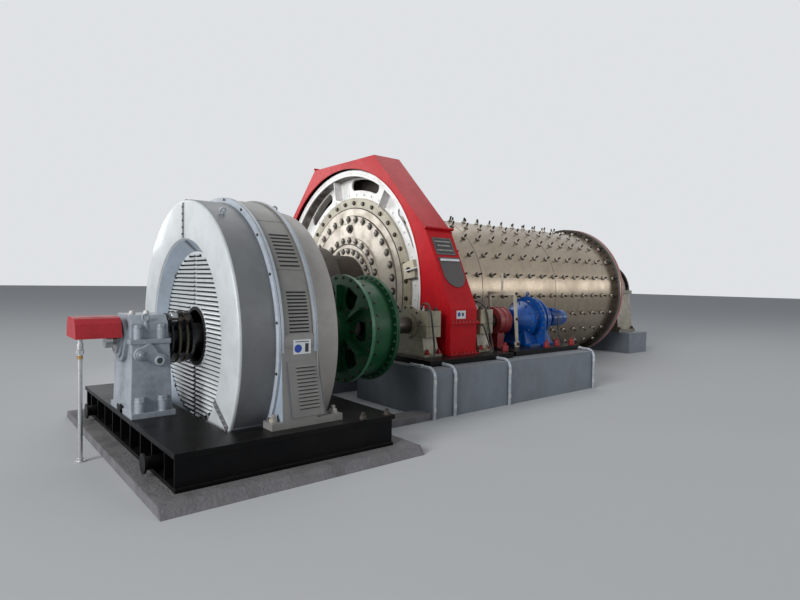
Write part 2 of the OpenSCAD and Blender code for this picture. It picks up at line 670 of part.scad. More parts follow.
motor_pad();
pinion_plinth();
drive_pier();
feed_pier();
motor_bed();
stator_frame();
front_cover();
front_grille();
rear_cover();
front_pedestal();
rear_pedestal();
brush_gear();
air_union_guard();
air_supply_pipe();
guard_top();
guard_front();
guard_sump();
guard_rear();
guard_pit();
inspection_cover();
pinion_sole_plate();
near_pinion_bearing();
far_pinion_bearing();
slow_drive_base();
coupling_guard();
slow_drive_gearbox();
slow_drive_motor();
engaging_lever();
drive_bearing();
feed_bearing();
cable_conduits();
mill_shell();
drive_head();
feed_head();
feed_collar();
gear_web();
gear_rim_a();
gear_rim_b();
pinion_shaft();
pinion();
clutch_drum();
motor_shaft();
rotor_wheel();
slip_rings();
clutch_spider();
clutch_rim();
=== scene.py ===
"""Dressed scene of a horizontal overflow ball mill with its motor, clutch, pinion and inching drives.

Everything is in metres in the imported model's frame: +X along the mill's axis towards the feed
end, +Y away from the pinion, +Z up, origin on the pit floor under the drive-end bearing.
"""
from __future__ import annotations

import sys

import logging
import math
from dataclasses import dataclass
from enum import Enum
from functools import cache
from typing import ClassVar, Iterable, Sequence

import bmesh
import bpy
import numpy as np
from mathutils import Matrix, Vector


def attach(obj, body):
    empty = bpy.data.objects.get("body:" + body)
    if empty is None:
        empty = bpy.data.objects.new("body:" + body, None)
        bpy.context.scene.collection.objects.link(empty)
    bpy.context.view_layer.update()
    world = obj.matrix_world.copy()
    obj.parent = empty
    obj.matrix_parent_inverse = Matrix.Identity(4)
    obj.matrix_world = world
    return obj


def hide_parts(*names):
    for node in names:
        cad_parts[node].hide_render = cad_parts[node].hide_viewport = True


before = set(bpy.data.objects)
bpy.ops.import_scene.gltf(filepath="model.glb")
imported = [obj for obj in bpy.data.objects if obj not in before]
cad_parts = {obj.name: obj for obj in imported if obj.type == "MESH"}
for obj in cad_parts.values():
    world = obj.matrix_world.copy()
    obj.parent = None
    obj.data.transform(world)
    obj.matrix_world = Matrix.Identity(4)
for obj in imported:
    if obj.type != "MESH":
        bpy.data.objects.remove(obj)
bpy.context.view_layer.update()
LOG = logging.getLogger("ball_mill")
Array = np.ndarray
Colour = tuple[float, float, float]

# Levels, the (y, z) of the two axes, and the motor's flat flank with its lean per metre of height.
SHOP_FLOOR = 0.70
BED_TOP, PLINTH_TOP, SOLE_TOP = 1.0743, 1.288, 1.360
MILL_Z = 2.156
DRIVE_Y, DRIVE_Z = -2.24464, 1.756
MILL = (0.0, MILL_Z)
DRIVE = (DRIVE_Y, DRIVE_Z)
FLANK_Y, FLANK_SLOPE = -3.6459, 0.0549

UP = np.array([[0.0, 0.0, 1.0]])
TO_MOTOR = np.array([[-1.0, 0.0, 0.0]])
TO_FEED = np.array([[1.0, 0.0, 0.0]])
TO_PINION_SIDE = np.array([[0.0, -1.0, 0.0]])

# Gap under pieces that lie on a face, and the angle from which an edge is sharp.
GAP = 0.0003
SHARP_ANGLE = math.radians(32.0)

# What all finishes share, and the stage.
TONE_SCALE = 4.3
TONE_DARK = 0.86
DUST = (0.34, 0.31, 0.26)
WORN_RADIUS = 0.006
BACKDROP = (0.74, 0.76, 0.78)
FLOOR_HALF = 90.0
SENSOR_MM = 36.0
PHOTO_WIDTH = 800.0


class Body(Enum):
    """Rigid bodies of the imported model."""

    PLANT = "plant"
    MILL = "mill"
    PINION = "pinion_set"
    ROTOR = "motor_rotor"


class Axis(Enum):
    """Directions that a profile can be carried along."""

    X = 0
    Y = 1
    Z = 2


# ---- meshes worked out as whole arrays


@dataclass
class Shape:
    """Vertices and faces of one surface, as arrays.

    Args:
        verts: Points, one row each.
        faces: Lists of vertex numbers, one per face.
    """

    verts: Array
    faces: list[list[int]]

    def __add__(self, other: "Shape") -> "Shape":
        """Put two shapes into one, with the second one's faces renumbered."""
        n = len(self.verts)
        return Shape(np.vstack([self.verts, other.verts]), self.faces + [[i + n for i in f] for f in other.faces])

    def moved(self, offset: Sequence[float]) -> "Shape":
        """Shift every point by the same offset."""
        return Shape(self.verts + np.asarray(offset, float), self.faces)

    def turned_x(self, degrees: float, about: tuple[float, float] = (0.0, 0.0)) -> "Shape":
        """Turn about a line along X through (y, z): y' = y cos a - z sin a, z' = y sin a + z cos a."""
        a = math.radians(degrees)
        v = self.verts.copy()
        y, z = v[:, 1] - about[0], v[:, 2] - about[1]
        v[:, 1] = about[0] + y * math.cos(a) - z * math.sin(a)
        v[:, 2] = about[1] + y * math.sin(a) + z * math.cos(a)
        return Shape(v, self.faces)

    def swapped(self) -> "Shape":
        """Turn the shape so that what ran along X runs along Z."""
        return Shape(self.verts[:, [1, 2, 0]], self.faces)


def joined(shapes: Iterable[Shape]) -> Shape:
    """Put many shapes into one."""
    shapes = list(shapes)
    offsets = np.cumsum([0] + [len(s.verts) for s in shapes])
    faces = [[i + int(o) for i in f] for s, o in zip(shapes, offsets) for f in s.faces]
    return Shape(np.vstack([s.verts for s in shapes]), faces)


def lathe(profile: Sequence[Sequence[float]], centre: tuple[float, float], segments: int = 160,
          start: float = 0.0, sweep: float = 360.0) -> Shape:
    """Turn a closed profile of (x, radius) points about a line along X.

    A point at angle t is (x, y0 + r cos t, z0 + r sin t).

    Args:
        profile: Corner points of the closed section, in order.
        centre: (y, z) of the axis.
        segments: Steps round the sweep.
        start: First angle in degrees.
        sweep: Angle covered in degrees; 360 closes the ring.

    Returns:
        The turned shape, with end caps when it isn't a full ring.
    """
    p = np.asarray(profile, float)
    full = sweep >= 359.99
    m = segments if full else segments + 1
    t = np.radians(start + np.arange(m) * sweep / segments)
    x = np.repeat(p[:, 0][:, None], m, 1)
    y = centre[0] + p[:, 1][:, None] * np.cos(t)
    z = centre[1] + p[:, 1][:, None] * np.sin(t)
    v = np.stack([x, y, z], -1).reshape(-1, 3)
    n = len(p)
    i = np.arange(n)[:, None]
    j = np.arange(segments)[None, :]
    k, l = (i + 1) % n, (j + 1) % m
    quads = np.stack([i * m + j, k * m + j, k * m + l, i * m + l], -1).reshape(-1, 4)
    faces = quads.tolist()
    if not full:
        faces.append([int(a) for a in np.arange(n) * m])
        faces.append([int(a) for a in (np.arange(n) * m + m - 1)[::-1]])
    return Shape(v, faces)


def hoop(x0: float, x1: float, r0: float, r1: float, centre: tuple[float, float], segments: int = 160,
         start: float = 0.0, sweep: float = 360.0) -> Shape:
    """Ring of rectangular section about a line along X, from x0 to x1 and from radius r0 to r1."""
    return lathe([(x0, r0), (x0, r1), (x1, r1), (x1, r0)], centre, segments, start, sweep)


def prism(outline: Sequence[Sequence[float]], axis: Axis, low: float, high: float) -> Shape:
    """Carry a closed outline straight along one axis.

    The outline's two numbers are the other two coordinates in X, Y, Z order.

    Args:
        outline: Corner points in order.
        axis: Direction of the run.
        low: Where the run starts.
        high: Where it ends.

    Returns:
        The closed prism.
    """
    p = np.asarray(outline, float)
    n = len(p)
    others = [k for k in range(3) if k != axis.value]
    v = np.zeros((2 * n, 3))
    v[:, others[0]] = np.tile(p[:, 0], 2)
    v[:, others[1]] = np.tile(p[:, 1], 2)
    v[:n, axis.value], v[n:, axis.value] = low, high
    i = np.arange(n)
    sides = np.stack([i, (i + 1) % n, (i + 1) % n + n, i + n], 1).tolist()
    return Shape(v, sides + [i[::-1].tolist(), (i + n).tolist()])


def box(low: Sequence[float], high: Sequence[float]) -> Shape:
    """Straight block between two corners."""
    return prism([(low[0], low[1]), (high[0], low[1]), (high[0], high[1]), (low[0], high[1])], Axis.Z, low[2],
                 high[2])


def circle(a: float, b: float, radius: float, count: int) -> Array:
    """Corner points of a circle about (a, b)."""
    t = np.arange(count) * 2 * math.pi / count
    return np.stack([a + radius * np.cos(t), b + radius * np.sin(t)], 1)


def rounded(width: float, height: float, radius: float, steps: int = 6) -> Array:
    """Outline of a rectangle with quarter-circle corners, centred on zero."""
    q = np.linspace(0, math.pi / 2, steps)
    arc = np.stack([np.cos(q), np.sin(q)], 1) * radius
    turn = [np.array([[math.cos(a), math.sin(a)], [-math.sin(a), math.cos(a)]]) for a in np.arange(4) * math.pi / 2]
    mid = np.array([[1, 1], [-1, 1], [-1, -1], [1, -1]]) * [width / 2 - radius, height / 2 - radius]
    return np.vstack([arc @ turn[k] + mid[k] for k in range(4)])


def smooth_path(points: Sequence[Sequence[float]], steps: int = 8) -> Array:
    """Points on a Catmull-Rom curve through the given points."""
    p = np.asarray(points, float)
    p = np.vstack([2 * p[0] - p[1], p, 2 * p[-1] - p[-2]])
    t = np.linspace(0, 1, steps, endpoint=False)[None, :, None]
    a, b, c, d = (p[k:len(p) - 3 + k][:, None, :] for k in range(4))
    out = 0.5 * (2 * b + (c - a) * t + (2 * a - 5 * b + 4 * c - d) * t**2 + (3 * b - a - 3 * c + d) * t**3)
    return np.vstack([out.reshape(-1, 3), p[-2]])


def tube(path: Array | Sequence[Sequence[float]], radius: float | Sequence[float], sides: int = 14) -> Shape:
    """Carry a circle along a path, square to it at each point, with closed ends.

    Args:
        path: Points of the centre line.
        radius: One radius, or one for each point.
        sides: Corners of the circle.

    Returns:
        The closed tube.
    """
    p = np.asarray(path, float)
    d = np.gradient(p, axis=0)
    d /= np.linalg.norm(d, axis=1)[:, None]
    u = np.empty_like(p)
    side = np.cross(d[0], np.eye(3)[int(np.abs(d[0]).argmin())])
    for k, ahead in enumerate(d):
        side = side - side.dot(ahead) * ahead
        side = side / np.linalg.norm(side)
        u[k] = side
    w = np.cross(d, u)
    t = np.arange(sides) * 2 * math.pi / sides
    r = np.broadcast_to(np.asarray(radius, float), (len(p),))[:, None, None]
    v = (p[:, None] + r * (u[:, None] * np.cos(t)[:, None] + w[:, None] * np.sin(t)[:, None])).reshape(-1, 3)
    i = np.arange(len(p) - 1)[:, None] * sides
    j = np.arange(sides)[None, :]
    k = (j + 1) % sides
    faces = np.stack([i + j, i + k, i + sides + k, i + sides + j], -1).reshape(-1, 4).tolist()
    last = (len(p) - 1) * sides
    return Shape(v, faces + [list(range(sides))[::-1], list(range(last, last + sides))])


def eye(centre: tuple[float, float, float], radius: float, thick: float, steps: int = 24) -> Shape:
    """Round bar bent to a loop that stands in an X-Z plane."""
    t = np.linspace(0, 2 * math.pi, steps + 1)
    x, y, z = centre
    return tube(np.stack([x + radius * np.cos(t), np.full(steps + 1, y), z + radius * np.sin(t)], 1), thick, 10)


def both_sides(shape: Shape) -> Shape:
    """A shape and its mirror image across the drive axis."""
    return shape + Shape(shape.verts * [1.0, -1.0, 1.0] + [0.0, 2 * DRIVE_Y, 0.0], shape.faces)


def beside_drive(half: float) -> tuple[float, float]:
    """The two values of Y at that distance from the drive axis."""
    return DRIVE_Y - half, DRIVE_Y + half


def grid(xs: Sequence[float], ys: Sequence[float], z: float) -> Array:
    """Points at one height, for every x and every y."""
    return np.array([(x, y, z) for x in xs for y in ys])


def repeated(part: Shape, points: Array, normals: Array, along: Sequence[float] = (1.0, 0.0, 0.0)) -> Shape:
    """Set one part at many places, its own Z on each normal and its own X as near as it can be to a direction.

    Args:
        part: The shape that is repeated, made about its own origin.
        points: Places, one row each.
        normals: Outward directions, one row each.
        along: Direction that the part's X keeps to.

    Returns:
        All the copies as one shape.
    """
    points, normals = np.atleast_2d(points).astype(float), np.atleast_2d(normals).astype(float)
    normals = np.broadcast_to(normals, points.shape)
    n = normals / np.linalg.norm(normals, axis=1)[:, None]
    a = np.broadcast_to(np.asarray(along, float), n.shape)
    a = np.where(np.abs((a * n).sum(1))[:, None] > 0.97, np.array([0.0, 0.0, 1.0]), a)
    u = a - (a * n).sum(1)[:, None] * n
    u /= np.linalg.norm(u, axis=1)[:, None]
    w = np.cross(n, u)
    p = part.verts
    v = points[:, None] + p[None, :, 0, None] * u[:, None] + p[None, :, 1, None] * w[:, None] + p[None, :, 2,
                                                                                                  None] * n[:, None]
    k = len(p)
    faces = [[i + s * k for i in f] for s in range(len(points)) for f in part.faces]
    return Shape(v.reshape(-1, 3), faces)


def stack(layers: Sequence[tuple[int, float, float, float, float]]) -> Shape:
    """Discs or hexagons piled along Z, each with its edge chamfered.

    Args:
        layers: (sides, radius, bottom, top, chamfer) of each.

    Returns:
        All the layers as one shape.
    """
    out = []
    for sides, r, z0, z1, c in layers:
        t = np.arange(sides) * 2 * math.pi / sides
        ring = np.stack([np.cos(t), np.sin(t)], 1)
        rows = [np.c_[ring * r, np.full(sides, z0)], np.c_[ring * r, np.full(sides, z1 - c)],
                np.c_[ring * (r - c), np.full(sides, z1)]]
        v = np.vstack(rows)
        j = np.arange(sides)
        k = (j + 1) % sides
        faces = [np.stack([j + o, k + o, k + o + sides, j + o + sides], 1).tolist() for o in (0, sides)]
        out.append(Shape(v, faces[0] + faces[1] + [(j + 2 * sides).tolist()]))
    return joined(out)


def bolt(d: float, washer: bool = True, tail: float = 0.0) -> Shape:
    """Hexagon head for a bolt of that shank diameter, with its washer and any thread that stands proud."""
    layers = [(12, d * 1.05, 0.0, d * 0.16, d * 0.03)] if washer else []
    layers.append((6, d * 0.92, d * 0.1, d * 0.78, d * 0.1))
    if tail:
        layers.append((8, d * 0.5, d * 0.7, d * 0.78 + tail, d * 0.08))
    return stack(layers)


def ring_points(x: float, radius: float, count: int, centre: tuple[float, float], phase: float = 0.0,
                sweep: float = 360.0) -> Array:
    """Points evenly round a circle about a line along X, the angle from +Y towards +Z in degrees."""
    t = np.radians(phase + np.arange(count) * sweep / count)
    return np.stack([np.full(count, x), centre[0] + radius * np.cos(t), centre[1] + radius * np.sin(t)], 1)


def radial(points: Array, centre: tuple[float, float]) -> Array:
    """Directions away from a line along X."""
    n = points - [0.0, centre[0], centre[1]]
    n[:, 0] = 0
    return n


def patch(radius: float, centre: tuple[float, float], x0: float, x1: float, a0: float, a1: float,
          thick: float, steps: int = 24) -> Shape:
    """Curved plate on a cylinder about a line along X, from angle a0 to a1 in degrees."""
    return hoop(x0, x1, radius, radius + thick, centre, steps, a0, a1 - a0)


# ---- finishes


class Graph:
    """Adds nodes to a tree, with their inputs set or linked as they are made.

    Args:
        tree: The node tree that is filled.
    """

    def __init__(self, tree: bpy.types.NodeTree) -> None:
        """Keep the tree."""
        self.tree = tree

    def feed(self, node: bpy.types.Node, inputs: dict) -> bpy.types.Node:
        """Link sockets to a node's inputs, or set plain values on them.

        Args:
            node: The node that is fed.
            inputs: Socket, number or colour for each input's name or number.

        Returns:
            The same node.
        """
        for key, value in inputs.items():
            if isinstance(value, bpy.types.NodeSocket):
                self.tree.links.new(value, node.inputs[key])
            else:
                node.inputs[key].default_value = value
        return node

    def add(self, kind: str, inputs: dict | None = None, **settings: object) -> bpy.types.Node:
        """Add a shader node.

        Args:
            kind: Its type, without ShaderNode in front.
            inputs: What goes into it, as for feed.
            settings: Attributes that are set before the inputs.

        Returns:
            The new node.
        """
        node = self.tree.nodes.new("ShaderNode" + kind)
        for key, value in settings.items():
            setattr(node, key, value)
        return self.feed(node, inputs or {})

    def math(self, op: str, a: object, b: object) -> bpy.types.NodeSocket:
        """Result of a Math node on two sockets or numbers."""
        return self.add("Math", {0: a, 1: b}, operation=op).outputs[0]

    def mask(self, value: bpy.types.NodeSocket, low: float, high: float) -> bpy.types.NodeSocket:
        """Map a value from low..high to 0..1, clamped."""
        return self.add("MapRange", {"Value": value, "From Min": low, "From Max": high}).outputs["Result"]

    def place(self) -> bpy.types.NodeSocket:
        """Object coordinates."""
        return self.add("TexCoord").outputs["Object"]

    def noise(self, scale: object, vector: bpy.types.NodeSocket | None = None, detail: float = 2.0,
              roughness: float = 0.5) -> bpy.types.NodeSocket:
        """Value of a noise texture on Object coordinates, or on the vector that is given."""
        inputs = {"Vector": self.place() if vector is None else vector, "Scale": scale, "Detail": detail,
                  "Roughness": roughness}
        return self.add("TexNoise", inputs).outputs["Fac"]


class Effects:
    """Node groups that more than one finish uses, each built once."""

    @staticmethod
    def _start(name: str, inputs: dict[str, float], output: str = "Mask") -> tuple[Graph, Sequence, bpy.types.Node]:
        """Make an empty group with float inputs and one float output.

        Args:
            name: Name of the group.
            inputs: Its inputs with their values.
            output: Name of its output.

        Returns:
            Its graph, the sockets of its inputs and its output node.
        """
        tree = bpy.data.node_groups.new(name, "ShaderNodeTree")
        for key, value in inputs.items():
            tree.interface.new_socket(name=key, in_out="INPUT", socket_type="NodeSocketFloat").default_value = value
        tree.interface.new_socket(name=output, in_out="OUTPUT", socket_type="NodeSocketFloat")
        return Graph(tree), tree.nodes.new("NodeGroupInput").outputs, tree.nodes.new("NodeGroupOutput")

    @staticmethod
    @cache
    def blotches() -> bpy.types.NodeTree:
        """Soft patches: noise on stretched Object coordinates, cut to a mask."""
        g, given, end = Effects._start("blotches", {"Scale": 3.0, "Stretch": 1.0, "Amount": 0.5})
        drawn = g.add("CombineXYZ", {0: 1.0, 1: 1.0, 2: given["Stretch"]})
        vector = g.add("VectorMath", {0: g.place(), 1: drawn.outputs[0]}, operation="MULTIPLY").outputs[0]
        patches = g.mask(g.noise(given["Scale"], vector, 6.0, 0.62), 0.44, 0.68)
        g.feed(end, {"Mask": g.math("MULTIPLY", patches, given["Amount"])})
        return g.tree

    @staticmethod
    @cache
    def dust() -> bpy.types.NodeTree:
        """Dust that lies on faces looking up: the normal's height times fine noise."""
        g, given, end = Effects._start("dust", {"Amount": 0.5})
        normal = g.add("SeparateXYZ", {0: g.add("NewGeometry").outputs["Normal"]})
        lying = g.math("MULTIPLY", g.mask(normal.outputs[2], 0.35, 1.0), g.mask(g.noise(9.0, detail=5.0), 0.25, 0.65))
        g.feed(end, {"Mask": g.math("MULTIPLY", lying, given["Amount"])})
        return g.tree

    @staticmethod
    @cache
    def edges() -> bpy.types.NodeTree:
        """Worn edges: how far the rounded normal turns from the true one, broken up by noise."""
        g, given, end = Effects._start("edges", {"Radius": 0.004, "Amount": 0.5})
        soft = g.add("Bevel", {"Radius": given["Radius"]}, samples=3).outputs[0]
        dot = g.add("VectorMath", {0: soft, 1: g.add("NewGeometry").outputs["Normal"]}, operation="DOT_PRODUCT")
        turned = g.mask(g.math("SUBTRACT", 1.0, dot.outputs["Value"]), 0.02, 0.2)
        rubbed = g.math("MULTIPLY", turned, g.mask(g.noise(16.0, detail=6.0), 0.38, 0.58))
        g.feed(end, {"Mask": g.math("MULTIPLY", rubbed, given["Amount"])})
        return g.tree

    @staticmethod
    @cache
    def grain() -> bpy.types.NodeTree:
        """Fine surface height: sprayed or cast skin from noise, with a coarser wave under it."""
        g, given, end = Effects._start("grain", {"Scale": 120.0, "Coarse": 4.0}, "Height")
        wave = g.math("MULTIPLY", g.noise(given["Coarse"]), 2.0)
        g.feed(end, {"Height": g.math("ADD", g.noise(given["Scale"]), wave)})
        return g.tree


@dataclass(frozen=True)
class Finish:
    """One paint, metal or concrete surface.

    Args:
        name: Name of the material.
        slot: Material slot of the record; nothing uses it.
        colour: Main colour, linear.
        rough: Roughness where it is clean.
        metal: Metallic.
        soil: Colour of the dirt patches.
        soiling: Strength of the patches.
        soil_scale: Patches per metre.
        stretch: Below 1 draws the patches out into runs down the face.
        dusting: Strength of the dust on top.
        wear: Strength of the bare edges.
        bare: Colour of the bare edges.
        grain: Noise scale of the fine skin.
        bump: Depth of the skin, in metres.
        round_edge: Radius that edges are shaded to.
        coat: Clear gloss over the colour.
        spec: Strength of the mirror-like share.
    """

    name: str
    slot: str
    colour: Colour
    rough: float = 0.4
    metal: float = 0.0
    soil: Colour = (0.1, 0.085, 0.065)
    soiling: float = 0.5
    soil_scale: float = 2.5
    stretch: float = 1.0
    dusting: float = 0.1
    wear: float = 0.0
    bare: Colour = (0.3, 0.28, 0.26)
    grain: float = 140.0
    bump: float = 0.0006
    round_edge: float = 0.0
    coat: float = 0.0
    spec: float = 0.5

    @staticmethod
    def _layer(g: Graph, under: object, over: Colour, mask: bpy.types.NodeSocket) -> bpy.types.NodeSocket:
        """Lay a plain colour over a socket or colour, through a mask."""
        return g.add("Mix", {"Factor": mask, "A": under, "B": (*over, 1.0)}, data_type="RGBA").outputs["Result"]

    @staticmethod
    def _effect(g: Graph, group: bpy.types.NodeTree, **values: float) -> bpy.types.NodeSocket:
        """Place a shared effect with this finish's own values and return its output."""
        return g.add("Group", values, node_tree=group).outputs[0]

    def build(self) -> bpy.types.Material:
        """Make the material, or return it if it is there already.

        Returns:
            The node material.
        """
        done = bpy.data.materials.get(self.name)
        if done is not None:
            return done
        m = bpy.data.materials.new(self.name)
        m.use_nodes = True
        g = Graph(m.node_tree)
        tone = self._effect(g, Effects.blotches(), Scale=self.soil_scale * TONE_SCALE, Stretch=1.0, Amount=1.0)
        colour = self._layer(g, (*self.colour, 1.0), tuple(c * TONE_DARK for c in self.colour), tone)
        dirt = self._effect(g, Effects.blotches(), Scale=self.soil_scale, Stretch=self.stretch, Amount=self.soiling)
        colour = self._layer(g, colour, self.soil, dirt)
        if self.dusting:
            colour = self._layer(g, colour, DUST, self._effect(g, Effects.dust(), Amount=self.dusting))
        if self.wear:
            worn = self._effect(g, Effects.edges(), Radius=WORN_RADIUS, Amount=self.wear)
            colour = self._layer(g, colour, self.bare, worn)
        rough = g.add("MapRange", {"Value": dirt, "To Min": self.rough, "To Max": min(0.95, self.rough + 0.3)})
        skin = self._effect(g, Effects.grain(), Scale=self.grain, Coarse=self.grain / 14)
        bump = g.add("Bump", {"Height": skin, "Distance": self.bump, "Strength": 0.6})
        if self.round_edge:
            g.feed(bump, {"Normal": g.add("Bevel", {"Radius": self.round_edge}, samples=4).outputs[0]})
        g.feed(m.node_tree.nodes["Principled BSDF"], {"Base Color": colour, "Roughness": rough.outputs["Result"],
                                                      "Metallic": self.metal, "Coat Weight": self.coat,
                                                      "Specular IOR Level": self.spec, "Normal": bump.outputs[0]})
        return m

    def dress(self, *nodes: str) -> None:
        """Put this finish on CAD nodes."""
        for n in nodes:
            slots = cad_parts[n].data.materials
            slots.clear()
            slots.append(self.build())
            LOG.info("node %s: %s", n, self.name)


class Paint:
    """The finishes of this mill."""

    CONCRETE = Finish("grey_concrete", "concrete", (0.16, 0.185, 0.215), 0.45, soil=(0.09, 0.093, 0.098),
                      soil_scale=1.3, stretch=0.3, dusting=0.2, grain=60, bump=0.002, round_edge=0.008)
    PAD = Finish("rough_concrete", "concrete", (0.165, 0.16, 0.172), 0.8, soil=(0.08, 0.075, 0.078), soiling=0.6,
                 soil_scale=3.5, dusting=0.2, grain=38, bump=0.012, round_edge=0.018, spec=0.3)
    BLACK = Finish("black_bed_paint", "black_paint", (0.0025, 0.0025, 0.003), 0.34, soil=(0.014, 0.013, 0.013),
                   soiling=0.22, dusting=0.02, wear=0.08, grain=90, bump=0.0005, round_edge=0.004, spec=0.12)
    MOTOR = Finish("pale_motor_grey", "grey_paint", (0.55, 0.585, 0.6), 0.3, soil=(0.36, 0.36, 0.35), soiling=0.25,
                   soil_scale=1.1, stretch=0.4, wear=0.1, grain=160, bump=0.0005, round_edge=0.003, coat=0.15)
    BAND = Finish("warm_band_grey", "grey_paint", (0.215, 0.211, 0.2), 0.36, soil=(0.15, 0.14, 0.13), soiling=0.3,
                  soil_scale=1.6, stretch=0.5, wear=0.12, bare=(0.42, 0.42, 0.42), grain=150, bump=0.0005,
                  round_edge=0.003, spec=0.4)
    WRAP = Finish("dark_motor_grey", "grey_paint", (0.155, 0.163, 0.17), 0.36, soil=(0.1, 0.1, 0.1), soiling=0.35,
                  soil_scale=1.4, dusting=0.06, wear=0.1, grain=160, bump=0.0005, round_edge=0.003, spec=0.4)
    REAR = Finish("rear_cover_grey", "grey_paint", (0.39, 0.365, 0.335), 0.4, soil=(0.22, 0.21, 0.19), soiling=0.3,
                  soil_scale=1.4, dusting=0.06, spec=0.4)
    RIM = Finish("flange_pale_blue", "grey_paint", (0.4, 0.45, 0.51), 0.32, soil=(0.24, 0.24, 0.24), soiling=0.35,
                 soil_scale=5.0, wear=0.3, bare=(0.6, 0.62, 0.64), round_edge=0.002)
    # Darker, bluer copy of the motor's pale grey: painted shade on the recess wall and on the stator's cheeks.
    RECESS = Finish("motor_grey_painted_shade", "grey_paint", (0.3, 0.355, 0.42), 0.34, soil=(0.2, 0.22, 0.24), soiling=0.3,
                    soil_scale=2.0, dusting=0.05)
    # Dark brown: the band's seam, and painted shade in the drive head's grooves.
    SEAM = Finish("brown_seam_and_groove_shade", "grey_paint", (0.035, 0.026, 0.02), 0.6, soiling=0.4, soil_scale=9.0, dusting=0.05)
    CAST = Finish("grey_casting", "mid_grey", (0.315, 0.35, 0.392), 0.3, soil=(0.05, 0.055, 0.06), soiling=0.42,
                  soil_scale=5.0, dusting=0.08, wear=0.35, bare=(0.5, 0.54, 0.58), grain=60, bump=0.003,
                  round_edge=0.012, coat=0.2)
    RED = Finish("guard_red", "red_paint", (0.5, 0.008, 0.014), 0.26, soil=(0.24, 0.015, 0.02), soiling=0.35,
                 soil_scale=1.6, stretch=0.5, dusting=0.03, wear=0.25, bare=(0.52, 0.1, 0.11), grain=120,
                 round_edge=0.003, spec=0.12)
    GREASE = Finish("pocket_grease", "olive_paint", (0.075, 0.055, 0.04), 0.35, soil=(0.55, 0.53, 0.5), soiling=0.35,
                    soil_scale=6.0, dusting=0.0)
    SHADE = Finish("guard_inside", "black_paint", (0.022, 0.014, 0.012), 0.55, soiling=0.4, soil_scale=5.0,
                   dusting=0.0)
    RED_EDGE = Finish("worn_red", "red_paint", (0.34, 0.022, 0.026), 0.35, soil=(0.12, 0.05, 0.04), soil_scale=9.0,
                      dusting=0.08, spec=0.35)
    PINK = Finish("rubbed_red", "tan_paint", (0.52, 0.2, 0.21), 0.4, soiling=0.3, soil_scale=9.0)
    GUARD_BOX = Finish("dark_red_box", "red_paint", (0.42, 0.028, 0.036), 0.33, soil=(0.2, 0.016, 0.02), soiling=0.35,
                       soil_scale=6.0, dusting=0.02, wear=0.25, bare=(0.42, 0.1, 0.1), round_edge=0.004, spec=0.2)
    DARK_RED = Finish("coupling_red", "red_paint", (0.3, 0.02, 0.028), 0.35, soiling=0.35, wear=0.3,
                      bare=(0.4, 0.2, 0.18), round_edge=0.003)
    GREEN = Finish("clutch_green", "green_paint", (0.008, 0.09, 0.03), 0.34, soil=(0.008, 0.026, 0.015),
                   soil_scale=4.0, dusting=0.02, wear=0.25, bare=(0.06, 0.17, 0.1), grain=90, bump=0.001,
                   round_edge=0.004, coat=0.05, spec=0.25)
    GREEN_BOLT = Finish("green_bolt", "green_paint", (0.015, 0.095, 0.045), 0.3, soil=(0.02, 0.03, 0.02),
                        soil_scale=14.0, wear=0.5, bare=(0.35, 0.42, 0.38))
    GREEN_EDGE = Finish("light_green_edge", "green_paint", (0.05, 0.2, 0.1), 0.35, soil=(0.02, 0.09, 0.04),
                        soil_scale=8.0, dusting=0.0)
    WHITE = Finish("web_white", "white_paint", (0.84, 0.84, 0.83), 0.38, soil=(0.42, 0.36, 0.29), soiling=0.3,
                   soil_scale=3.5, dusting=0.04, wear=0.2, bare=(0.5, 0.45, 0.4), round_edge=0.004)
    CREAM = Finish("splice_cream", "white_paint", (0.62, 0.56, 0.43), 0.4, soiling=0.3, dusting=0.3, round_edge=0.004)
    OLIVE = Finish("flange_olive", "olive_paint", (0.335, 0.3, 0.205), 0.36, soil=(0.1, 0.075, 0.05), soiling=0.42,
                   soil_scale=4.0, dusting=0.12, wear=0.4, grain=80, bump=0.0016, round_edge=0.005, coat=0.15)
    HEAD = Finish("head_silver_tan", "olive_paint", (0.47, 0.425, 0.36), 0.36, 0.3, soil=(0.18, 0.14, 0.095),
                  soil_scale=4.5, dusting=0.12, wear=0.35, grain=80, bump=0.0014, round_edge=0.004)
    SHELL = Finish("shell_silver_tan", "tan_paint", (0.37, 0.305, 0.23), 0.27, 0.8, soil=(0.18, 0.125, 0.08),
                   soiling=0.35, soil_scale=1.6, stretch=0.6, dusting=0.04, grain=30, bump=0.0004)
    WELD = Finish("weld_line", "tan_paint", (0.14, 0.11, 0.075), 0.4, 0.5, soiling=0.3, dusting=0.05)
    LINER_NUT = Finish("bright_nut", "steel", (0.6, 0.56, 0.49), 0.3, 0.45, soil=(0.12, 0.08, 0.05), soiling=0.35,
                       soil_scale=12.0, dusting=0.05)
    HOUSING = Finish("housing_tan_grey", "mid_grey", (0.25, 0.225, 0.175), 0.32, 0.4, soil=(0.1, 0.08, 0.06),
                     soil_scale=4.0, grain=60, bump=0.002, round_edge=0.008)
    DARK = Finish("dark_brown_steel", "olive_paint", (0.045, 0.033, 0.026), 0.42, 0.3, soiling=0.3, dusting=0.15,
                  wear=0.4, round_edge=0.004)
    HOOD = Finish("dark_bearing_grey", "mid_grey", (0.06, 0.052, 0.046), 0.4, 0.1, soil=(0.03, 0.025, 0.02),
                  soiling=0.4, dusting=0.2, wear=0.3, grain=80, bump=0.0016, round_edge=0.006)
    COLLAR = Finish("ring_black", "steel", (0.012, 0.012, 0.013), 0.22, 0.2, soil=(0.05, 0.04, 0.035), soiling=0.4,
                    soil_scale=9.0, dusting=0.05, coat=0.2)
    GEAR = Finish("greased_steel", "black_iron", (0.035, 0.033, 0.03), 0.28, 0.7, soil=(0.015, 0.012, 0.01),
                  soiling=0.6, dusting=0.05)
